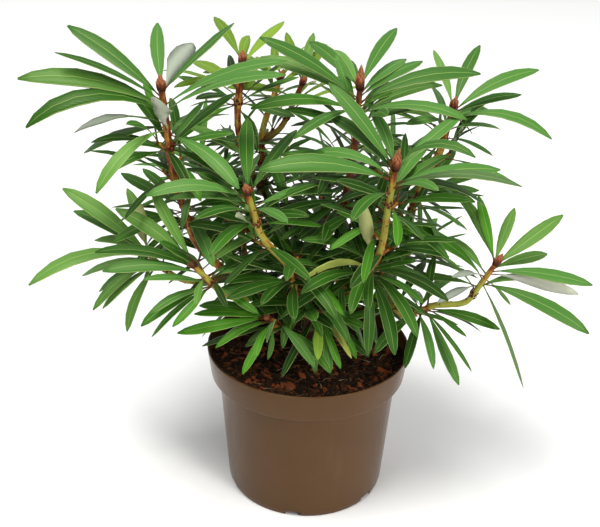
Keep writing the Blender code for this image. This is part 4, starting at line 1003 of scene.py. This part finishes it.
def shoot_leaves(name, twigs, rng):
    """All leaves of a shoot, the youngest at the top of its stem and the oldest near its foot."""
    shoot = SHOOTS[name]
    foot, top = twigs[0]
    count = len(shoot.seen) + shoot.unseen
    leafy = (top - foot) * (1.0 - BARE_FOOT / (top - foot).length)
    turn = rng.uniform(0.0, math.tau)
    leaves = []
    for index in range(count):
        age = index / (count - 1)
        arch = YOUNG_ARCH + age * (OLD_ARCH - YOUNG_ARCH) + math.radians(rng.uniform(*ARCH_SPREAD))
        roll = math.radians(rng.gauss(0.0, ROLL_SPREAD))
        half = LEAF_HALF * rng.uniform(*WIDTHS)
        bearing = turn + index * GOLDEN_ANGLE
        if index < len(shoot.seen):
            clock, lean, length, *strong_arch = shoot.seen[index]
            direction = view_direction(clock, lean)
            arch = math.radians(strong_arch[0]) if strong_arch else arch
            roll += FACING * turn_towards(direction, VIEWER)
        elif shoot.seen or not shoot.bud:
            rises, lengths = BEHIND_LEAF if shoot.bud else OLD_LEAF
            if shoot.bud:
                bearing = far_bearing(index * GOLDEN_SHARE + turn, BEHIND_MARGIN)
            rise = math.radians(rng.uniform(*rises))
            length = rng.uniform(*lengths)
            direction = level_direction(bearing, rise)
        else:
            rise = math.radians(OPEN_RISE - OPEN_FALL * age + rng.uniform(*SWAY))
            length = OPEN_LENGTH + OPEN_GAIN * age + rng.uniform(*SWAY)
            direction = level_direction(bearing, rise)
        leaves.append([top - leafy * age, direction * length, arch, roll, half])
    for start, end in twigs[1:]:
        for index in range(TWIG_LEAVES):
            rise = math.radians(TWIG_LEAF_RISE - TWIG_LEAF_FALL * index + rng.uniform(*SWAY))
            direction = level_direction(turn + index * GOLDEN_ANGLE, rise)
            length = rng.uniform(*TWIG_LENGTHS) * TWIG_LEAF_LENGTH
            base = end.lerp(start, TOP_LEAF + index / (TWIG_LEAVES + 1))
            leaves.append([base, direction * length, YOUNG_ARCH, 0.0, LEAF_HALF])
    kinds = random.Random(name)
    made = []
    for index, values in enumerate(leaves):
        near = NEIGHBOUR_KINDS[shoot.kind]
        leaf = Leaf(*values, kinds.choices((shoot.kind,) + near, KIND_ODDS)[0])
        direction = leaf.chord.normalized()
        if (name, index) in ODD_LEAVES:
            kind, away, width, longer = ODD_LEAVES[name, index]
            roll = turn_towards(direction, VIEWER) + math.radians(away)
            leaf = leaf._replace(kind=kind, roll=roll, half=leaf.half * width, chord=leaf.chord * longer)
        elif index >= len(shoot.seen):
            roll = leaf.roll + FACING * turn_towards(direction, outward(leaf.base))
            leaf = broad_side(leaf._replace(roll=roll))
        made.append(leaf)
    return made


def inner_leaves(rng):
    """Rather short, dark leaves of the finer twigs inside the crown, and those on their own."""
    leaves = []
    for start, end in fine_twigs:
        turn = rng.uniform(0.0, math.tau)
        for index in range(FINE_TWIG_LEAVES):
            rise = math.radians(INNER_RISE - INNER_FALL * index + rng.uniform(*INNER_SWAY))
            chord = level_direction(turn + index * GOLDEN_ANGLE, rise) * rng.uniform(*INNER_LENGTHS)
            facing = turn_towards(chord.normalized(), outward(end))
            roll = math.radians(rng.gauss(0.0, INNER_ROLL)) + FACING * facing
            half = LEAF_HALF * rng.uniform(*INNER_WIDTHS)
            kind = rng.choices(INNER_KINDS, INNER_ODDS)[0]
            arch = YOUNG_ARCH * rng.uniform(*INNER_ARCHES)
            base = end.lerp(start, TOP_LEAF + INNER_GAP * index)
            leaves.append(Leaf(base, chord, arch, roll, half, kind))
    for bough, places in LONE_LEAVES.items():
        route = routes[bough]
        for share, clock, lean, length in places:
            place = share * (len(route) - 1)
            step = min(int(place), len(route) - 2)
            base = route[step].lerp(route[step + 1], place - step)
            direction = view_direction(clock, lean)
            roll = math.radians(rng.gauss(0.0, LONE_ROLL)) + FACING * turn_towards(direction, VIEWER)
            kind = rng.choice(LONE_KINDS)
            leaves.append(Leaf(base, direction * length, LONE_ARCH, roll, LONE_HALF, kind))
    return [broad_side(leaf) for leaf in leaves]


def leaf_spine(leaf, shares):
    """Points along an arched leaf, each with its side and its upward direction."""
    length = leaf.chord.length
    along = np.array(leaf.chord) / length
    above = np.array((0.0, 0.0, 1.0)) - along * along[2]
    above /= np.linalg.norm(above)
    side = np.cross(along, above)
    turn = leaf.arch * (2.0 * shares - 1.0)
    forward = length * (np.sin(turn) + math.sin(leaf.arch)) / (2.0 * math.sin(leaf.arch))
    rise = length * (np.cos(turn) - math.cos(leaf.arch)) / (2.0 * math.sin(leaf.arch))
    points = np.array(leaf.base) + np.outer(forward, along) + np.outer(rise, above)
    upward = np.outer(np.cos(turn), above) + np.outer(np.sin(turn), along)
    roll = leaf.roll * np.minimum(ROLL_FOOT + ROLL_GAIN * shares, ROLL_MOST)
    across = np.cos(roll)[:, None] * side + np.sin(roll)[:, None] * upward
    upward = np.cos(roll)[:, None] * upward - np.sin(roll)[:, None] * side
    return points, across, upward


def leaf_faces():
    """The faces that every leaf shares, with their part: top, margin, midrib, below or stalk."""
    faces, parts = [], []
    below = STATIONS * WIDE
    names = ["margin", "top", "top", "midrib", "top", "top", "margin"]
    for row in range(STATIONS - 1):
        for column in range(WIDE - 1):
            corner = row * WIDE + column
            faces.append((corner, corner + WIDE, corner + WIDE + 1, corner + 1))
            parts.append(names[column])
        left, right = row * WIDE, row * WIDE + WIDE - 1
        middle = below + row
        faces.append((left, middle, middle + 1, left + WIDE))
        faces.append((middle, right, right + WIDE, middle + 1))
        parts += ["below", "below"]
    faces.append(tuple(range(WIDE)) + (below,))
    last = (STATIONS - 1) * WIDE
    faces.append(tuple(range(last + WIDE - 1, last - 1, -1)) + (below + STATIONS - 1,))
    parts += ["below", "below"]
    stalk = below + STATIONS
    for row in range(STALK_STATIONS - 1):
        ring = stalk + row * STALK_SIDES
        for column in range(STALK_SIDES):
            near, other = ring + column, ring + (column + 1) % STALK_SIDES
            faces.append((near, other, other + STALK_SIDES, near + STALK_SIDES))
            parts.append("stalk")
    end = stalk + (STALK_STATIONS - 1) * STALK_SIDES
    faces += [(stalk + 2, stalk + 1, stalk), (end, end + 1, end + 2)]
    parts += ["stalk", "stalk"]
    return faces, parts


def leaf_points(leaf, rng):
    """The corners of one leaf, in the order that leaf_faces takes them, in millimetres."""
    length = leaf.chord.length
    start = STALK_LENGTH / length
    steps = np.linspace(0.0, 1.0, STATIONS)
    steps = EVEN * steps + CROWDED * (0.5 - 0.5 * np.cos(math.pi * steps))
    points, across, upward = leaf_spine(leaf, start + (1.0 - start) * steps)
    outline = steps ** OUTLINE_FOOT * (1.0 - steps) ** OUTLINE_TIP / OUTLINE_PEAK
    half = leaf.half * length * outline
    half[0], half[-1] = STALK_RADIUS, BLUNT_TIP * leaf.half * length
    bow = rng.uniform(-BOW, BOW) * np.sin(math.pi * steps)
    points = points + across * bow[:, None]
    fold = rng.uniform(*FOLD)
    curl = fold + rng.uniform(0.0, CURL)
    wave = rng.uniform(0.0, WAVE) * np.sin(steps * rng.uniform(*WAVES) + rng.uniform(*WAVE_STARTS))
    rows = []
    for share in ACROSS_TOP:
        rise = half * (fold * abs(share) - curl * abs(share) ** 3 + wave * abs(share))
        groove = GROOVE if abs(share) < GROOVE_HALF else 0.0
        rise = rise - groove * np.minimum(half / GROOVE_FADE, 1.0)
        rows.append(points + across * (half * share)[:, None] + upward * rise[:, None])
    top = np.stack(rows, 1).reshape(-1, 3)
    keel = points - upward * (BLADE_THICKNESS + KEEL * (1.0 - steps))[:, None]
    stalk = np.linspace(-STALK_SUNK / length, start * STALK_OVERLAP, STALK_STATIONS)
    spine, aside, above = leaf_spine(leaf, stalk)
    radius = STALK_RADIUS * np.linspace(*STALK_TAPER, STALK_STATIONS)[:, None]
    sides = [spine + aside * radius, spine - above * radius, spine - aside * radius]
    return np.concatenate((top, keel, np.stack(sides, 1).reshape(-1, 3)))


def leaf_material(name, colour, roughness, veined=False):
    """A leaf skin: one plain colour, with fine veins or felt in relief."""
    material, tree, shader = new_material(name, colour, roughness, Specular_IOR_Level=0.24,
                                          Specular_Tint=(0.90, 1.0, 0.62, 1.0))
    if veined:
        map_place = add_node(tree, "ShaderNodeUVMap", uv_map="blade").outputs["UV"]
        ribs = add_node(tree, "ShaderNodeTexWave", {
            "Vector": map_place, "Scale": 1.0, "Distortion": 0.6, "Detail": 2.0},
            wave_type="BANDS", bands_direction="Y").outputs["Fac"]
        add_bump(tree, shader, ribs, 0.22, 0.4 * MM)
    else:
        add_bump(tree, shader, add_noise(tree, own_place(tree), 900.0, 2.0), 0.25, 0.3 * MM)
    return material


def blend(colour, share, other, amount):
    return tuple(share * part + amount * extra for part, extra in zip(colour, other))


# Every kind of leaf comes in three plain shades, dealt out leaf by leaf
SHADES = ((0.86, 0.87, 0.88), (1.15, 1.09, 1.20), (1.40, 1.28, 1.50))
SHADE_ODDS = (0.25, 0.25, 0.5)
LEAF_SKINS = {}
for kind, sides in LEAF_COLOURS.items():
    for number, shade in enumerate(SHADES):
        upper, under = (tuple(part * factor for part, factor in zip(side, shade)) for side in sides)
        pale = blend(upper, 0.70, (0.42, 0.56, 0.16), 0.36)
        edge = blend(upper, 0.52, (0.42, 0.50, 0.18), 0.58)
        for part, label, colour, roughness in (
                ("top", "leaf", upper, 0.40), ("below", "underside", under, 0.62),
                ("midrib", "midrib", pale, 0.50), ("margin", "margin", edge, 0.50)):
            made = leaf_material(f"{label}_{kind}_{number}", colour, roughness, part == "top")
            LEAF_SKINS[kind, number, part] = made
RED_STALK = leaf_material("leaf_stalk_red", (0.150, 0.036, 0.012), 0.45)
GREEN_STALK = leaf_material("leaf_stalk_green", (0.150, 0.150, 0.030), 0.45)

limb_places = [place for chain in list(chains.values()) + [trunk_line] for place in chain]
limb_finder = KDTree(len(limb_places))
for number, (point, *_) in enumerate(limb_places):
    limb_finder.insert(point, number)
limb_finder.balance()


def leaf_is_clear(leaf):
    """True if a leaf keeps clear of every limb, the compost and the pot's rim."""
    points, across, _ = leaf_spine(leaf, np.linspace(TESTED_FROM, 1.0, TESTED_POINTS))
    for point, aside in zip(points, across):
        _, number, distance = limb_finder.find(Vector(point))
        if distance < limb_places[number][1] / MM + LIMB_GAP:
            return False
        for side in (-HALF_TESTED, 0.0, HALF_TESTED):
            x, y, z = point + aside * side
            radius = math.hypot(x, y)
            lowest = SOIL_LEVEL + SOIL_GAP if radius < OVER_SOIL else POT_HEIGHT + RIM_GAP
            if radius < OVER_POT and z < lowest:
                return False
    return True


def settled(leaf):
    """The leaf turned a little, if it must be, to keep clear. None if there is no room."""
    for angle in TRIED_TURNS:
        for axis in (UP, leaf.chord.cross(UP).normalized()):
            tried = leaf._replace(chord=Matrix.Rotation(math.radians(angle), 3, axis) @ leaf.chord)
            if leaf_is_clear(tried):
                return tried
    return None


VEINS, VEIN_SLANT = 8.0, 1.3
GREEN_STALKS = {"fresh": 0.6, "light": 0.6}
OTHER_GREEN_STALKS = 0.35
LEAF_FACES, LEAF_PARTS = leaf_faces()
faces_of_leaf = np.array([len(face) for face in LEAF_FACES])
corners_of_leaf = np.concatenate([np.array(face) for face in LEAF_FACES])
corner_count = STATIONS * (WIDE + 1) + STALK_STATIONS * STALK_SIDES
blade_map = np.zeros((corner_count, 2))
blade_map[:STATIONS * WIDE, 0] = np.tile(ACROSS_TOP, STATIONS)
blade_map[:STATIONS * WIDE, 1] = np.repeat(np.linspace(0.0, VEINS, STATIONS), WIDE)
blade_map[:STATIONS * WIDE, 1] += VEIN_SLANT * np.abs(np.tile(ACROSS_TOP, STATIONS))
whorls = {name: shoot_leaves(name, *plan) for name, plan in plans.items()}
whorls["inner"] = inner_leaves(random.Random(8))
for name, planned in whorls.items():
    leaf_rng = random.Random(name + " blades")
    shades = random.Random(name + " shades")
    leaves = [leaf for leaf in map(settled, planned) if leaf]
    skins, slots, points = [], [], []
    for leaf in leaves:
        points.append(leaf_points(leaf, leaf_rng))
        green_share = GREEN_STALKS.get(leaf.kind, OTHER_GREEN_STALKS)
        stalk = GREEN_STALK if leaf_rng.random() < green_share else RED_STALK
        shade = shades.choices(range(len(SHADES)), SHADE_ODDS)[0]
        for part in LEAF_PARTS:
            skin = stalk if part == "stalk" else LEAF_SKINS[leaf.kind, shade, part]
            if skin not in skins:
                skins.append(skin)
            slots.append(skins.index(skin))
    mesh = bpy.data.meshes.new(f"{name}_leaves")
    mesh.vertices.add(corner_count * len(leaves))
    mesh.vertices.foreach_set("co", (np.concatenate(points) * MM).ravel())
    mesh.loops.add(len(corners_of_leaf) * len(leaves))
    loops = np.concatenate([corners_of_leaf + number * corner_count for number in range(len(leaves))])
    mesh.loops.foreach_set("vertex_index", loops)
    sizes = np.tile(faces_of_leaf, len(leaves))
    mesh.polygons.add(len(sizes))
    mesh.polygons.foreach_set("loop_start", np.concatenate(([0], np.cumsum(sizes)[:-1])))
    mesh.update(calc_edges=True)
    mesh.polygons.foreach_set("material_index", slots)
    for skin in skins:
        mesh.materials.append(skin)
    places = np.tile(blade_map[corners_of_leaf], (len(leaves), 1))
    mesh.uv_layers.new(name="blade").uv.foreach_set("vector", places.ravel())
    mesh.shade_smooth()
    mesh.validate()
    foliage = new_object(f"{name}_leaves", mesh)
    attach(foliage, "root")
    if name in SHOOTS:
        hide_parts(name)

# The buds: at the top of each young shoot stands a pointed bud. Red-brown scales wrap it in a
# spiral, each darker at its covered base, a painted shade, and paler at its free tip, a painted highlight.
SCALE_TURN = GOLDEN_ANGLE
SCALE_PROFILE = (
    (0.0, 0.26, 0.0), (0.25, 0.28, 0.08), (0.5, 0.21, 0.10), (0.75, 0.12, 0.07), (1.0, 0.015, 0.02))
SCALE_HOLLOW, HOLLOW_LOSS = 0.18, 0.5
SCALE_THICKNESS = 0.05
FEWEST_SCALES = 10
BUD_SHARE, BUD_TAPER, BUD_PRESS = 0.86, 0.88, 0.82
BUD_SUNK, BUD_REACH = 3.0, 0.72
BUD_LEAN, BUD_CLOSING = 9.0, 10.0
SCALE_LENGTH, SCALE_GAIN, SCALE_LOSS = 6.0, 0.34, 0.25
OLD_SCALES, OLD_GAP, OLD_SUNK, OLD_PRESS = 11, 0.65, 4.0, 0.93
OLD_LEAN, OLD_LEAN_STEP = 14.0, 3.0
OLD_LENGTH, OLD_LENGTH_STEP = 5.0, 0.5


def place_on_points(label):
    """A tree that sets a shape on every point, turned and sized by the point's own marks."""
    tree, given = new_tree(label, shape="Object", material="Material")
    shape = add_node(tree, "GeometryNodeObjectInfo", {"Object": given["Shape"]}).outputs["Geometry"]
    turn = add_node(tree, "GeometryNodeInputNamedAttribute", {"Name": "turn"}, data_type="QUATERNION")
    points = add_node(tree, "GeometryNodeMeshToPoints", {0: given["Geometry"]}).outputs[0]
    placed = add_node(tree, "GeometryNodeInstanceOnPoints", {
        "Points": points, "Instance": shape, "Rotation": turn.outputs[0], "Scale": read(tree, "size")})
    end_tree(tree, placed.outputs[0], given["Material"])
    return tree


def bud_scale_shape():
    """A single scale, 1 long: broad and hollow at its base, with a narrow free tip."""
    shape = bmesh.new()
    rows = []
    for height, half, out in SCALE_PROFILE:
        row = []
        for share in (-1.0, -0.5, 0.0, 0.5, 1.0):
            hollow = out - SCALE_HOLLOW * share * share * (1.0 - HOLLOW_LOSS * height)
            row.append(shape.verts.new((half * share, hollow, height)))
        rows.append(row)
    for low, high in zip(rows, rows[1:]):
        for column in range(4):
            shape.faces.new((low[column], low[column + 1], high[column + 1], high[column]))
    mesh = to_mesh(shape, "bud_scale")
    layer = mesh.attributes.new("rise", "FLOAT", "POINT")
    layer.data.foreach_set("value", [vertex.co.z for vertex in mesh.vertices])
    item = new_object("bud_scale", mesh)
    wall = item.modifiers.new("Thickness", "SOLIDIFY")
    wall.thickness = SCALE_THICKNESS
    wall.offset = -1.0
    return plain_mesh(item)


bud_skin, tree, shader = new_material("bud_scales", (0.22, 0.060, 0.030), 0.50, Specular_IOR_Level=0.25)
mottle = add_noise(tree, own_place(tree), 260.0, 3.0)
# red-brown scales, with painted shade darkening each towards its base under the scale above and a painted
# highlight at its free tip
tip_highlight_base_shade = calculate(tree, "MULTIPLY_ADD", mottle, 0.35, skin_mark(tree, "rise"))
paint(tree, shader, tip_highlight_base_shade, (0.15, (0.030, 0.006, 0.003)), (0.62, (0.090, 0.018, 0.006)),
      (0.88, (0.210, 0.050, 0.014)), (1.0, (0.300, 0.110, 0.045)))
add_bump(tree, shader, mottle, 0.3, 0.4 * MM)

scale_places, scale_turns, scale_sizes = [], [], []


def add_scale(foot, shoot, number, along, radius, press, lean, size):
    """One scale on a shoot, along its axis from foot and pressed to its radius there."""
    axis = (Vector(shoot.top) - Vector(shoot.foot)).normalized()
    spun = axis.to_track_quat("Z", "Y") @ Quaternion((0.0, 0.0, 1.0), number * SCALE_TURN)
    base = Vector(foot) + axis * along + spun @ Vector((0.0, 1.0, 0.0)) * radius * press
    scale_places.append(base * MM)
    scale_turns.append(spun @ Quaternion((1.0, 0.0, 0.0), -math.radians(lean)))
    scale_sizes.append(size * MM)


for shoot in SHOOTS.values():
    count = FEWEST_SCALES + shoot.bud if shoot.bud else 0
    for number in range(count):
        share = number / (count - 1)
        radius = shoot.radius * (1.0 - BUD_TAPER * share) * BUD_SHARE
        size = (SCALE_LENGTH + SCALE_GAIN * shoot.bud) * (1.0 - SCALE_LOSS * share)
        along = -BUD_SUNK + share * (shoot.bud * BUD_REACH)
        lean = BUD_LEAN - BUD_CLOSING * share
        add_scale(shoot.top, shoot, number, along, radius, BUD_PRESS, lean, size)
# the scales of last year's bud, left in a ring round each shoot's foot
for shoot in SHOOTS.values():
    for number in range(OLD_SCALES):
        lean = OLD_LEAN + OLD_LEAN_STEP * (number % 4)
        size = OLD_LENGTH + OLD_LENGTH_STEP * (number % 3)
        add_scale(shoot.foot, shoot, number, number * OLD_GAP - OLD_SUNK, shoot.radius, OLD_PRESS,
                  lean, size)
mesh = bpy.data.meshes.new("buds")
mesh.from_pydata(scale_places, [], [])
turns = mesh.attributes.new("turn", "QUATERNION", "POINT")
turns.data.foreach_set("value", [part for turn in scale_turns for part in turn])
mesh.attributes.new("size", "FLOAT", "POINT").data.foreach_set("value", scale_sizes)
buds = new_object("buds", mesh)
one_scale = bud_scale_shape()
grow(buds, place_on_points("Bud scales"), shape=one_scale, material=bud_skin)
bpy.data.objects.remove(one_scale)
buds.data.shade_smooth()
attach(buds, "root")

# The stage: a plain pale floor under soft light from above and from the front's right, a bright
# surrounding that shows white, and the camera of the photograph.
shape = bmesh.new()
bmesh.ops.create_grid(shape, x_segments=1, y_segments=1, size=6.0)
floor = new_object("floor", to_mesh(shape, "floor"))
paper, tree, shader = new_material("pale_floor", (0.915, 0.935, 0.965), 0.9)
floor.data.materials.append(paper)

world = bpy.data.worlds.new("soft_white")
bpy.context.scene.world = world
bpy.context.scene.view_settings.view_transform = "Standard"
world.use_nodes = True
tree = world.node_tree
way = add_node(tree, "ShaderNodeTexCoord").outputs["Generated"]
away = add_node(tree, "ShaderNodeSeparateXYZ", {0: way}).outputs["Y"]
behind = add_node(tree, "ShaderNodeMapRange", {"Value": away, "From Min": -0.9, "From Max": 0.2,
                                               "To Min": 0.15, "To Max": 0.50})
tree.nodes["Background"].inputs["Color"].default_value = (1.0, 1.0, 1.0, 1.0)
seen = add_node(tree, "ShaderNodeLightPath").outputs["Is Camera Ray"]
strength = add_node(tree, "ShaderNodeMix", {"Factor": seen, 2: behind.outputs["Result"], 3: 0.95},
                    data_type="FLOAT")
tree.links.new(strength.outputs[0], tree.nodes["Background"].inputs["Strength"])


def soft_light(name, place, aim, size, power):
    lamp = bpy.data.lights.new(name, "AREA")
    lamp.shape = "DISK"
    lamp.size = size
    lamp.energy = power
    lamp.color = (1.0, 0.97, 0.91)
    item = bpy.data.objects.new(name, lamp)
    bpy.context.scene.collection.objects.link(item)
    item.location = place
    item.rotation_euler = (Vector(aim) - Vector(place)).to_track_quat("-Z", "Y").to_euler()


soft_light("sky_light", (-1.6, -1.8, 8.4), (0.0, 0.0, 0.3), 4.4, 700.0)
soft_light("front_light", (4.6, -5.0, 4.4), (0.0, 0.0, 0.3), 2.6, 320.0)

camera = bpy.data.cameras.new("photo_camera")
camera.sensor_width = 36.0
camera.lens = 56.793
camera_item = bpy.data.objects.new("photo_camera", camera)
bpy.context.scene.collection.objects.link(camera_item)
right = (0.99978, 0.005965, 0.020275)
up = (-0.020866, 0.431017, 0.902103)
back = (-0.0033576, -0.90232, 0.43105)
spot = (-0.0149, -0.9394, 0.7244)
camera_item.matrix_world = Matrix([(*column,) for column in zip(right, up, back, spot)]).to_4x4()
bpy.context.scene.camera = camera_item
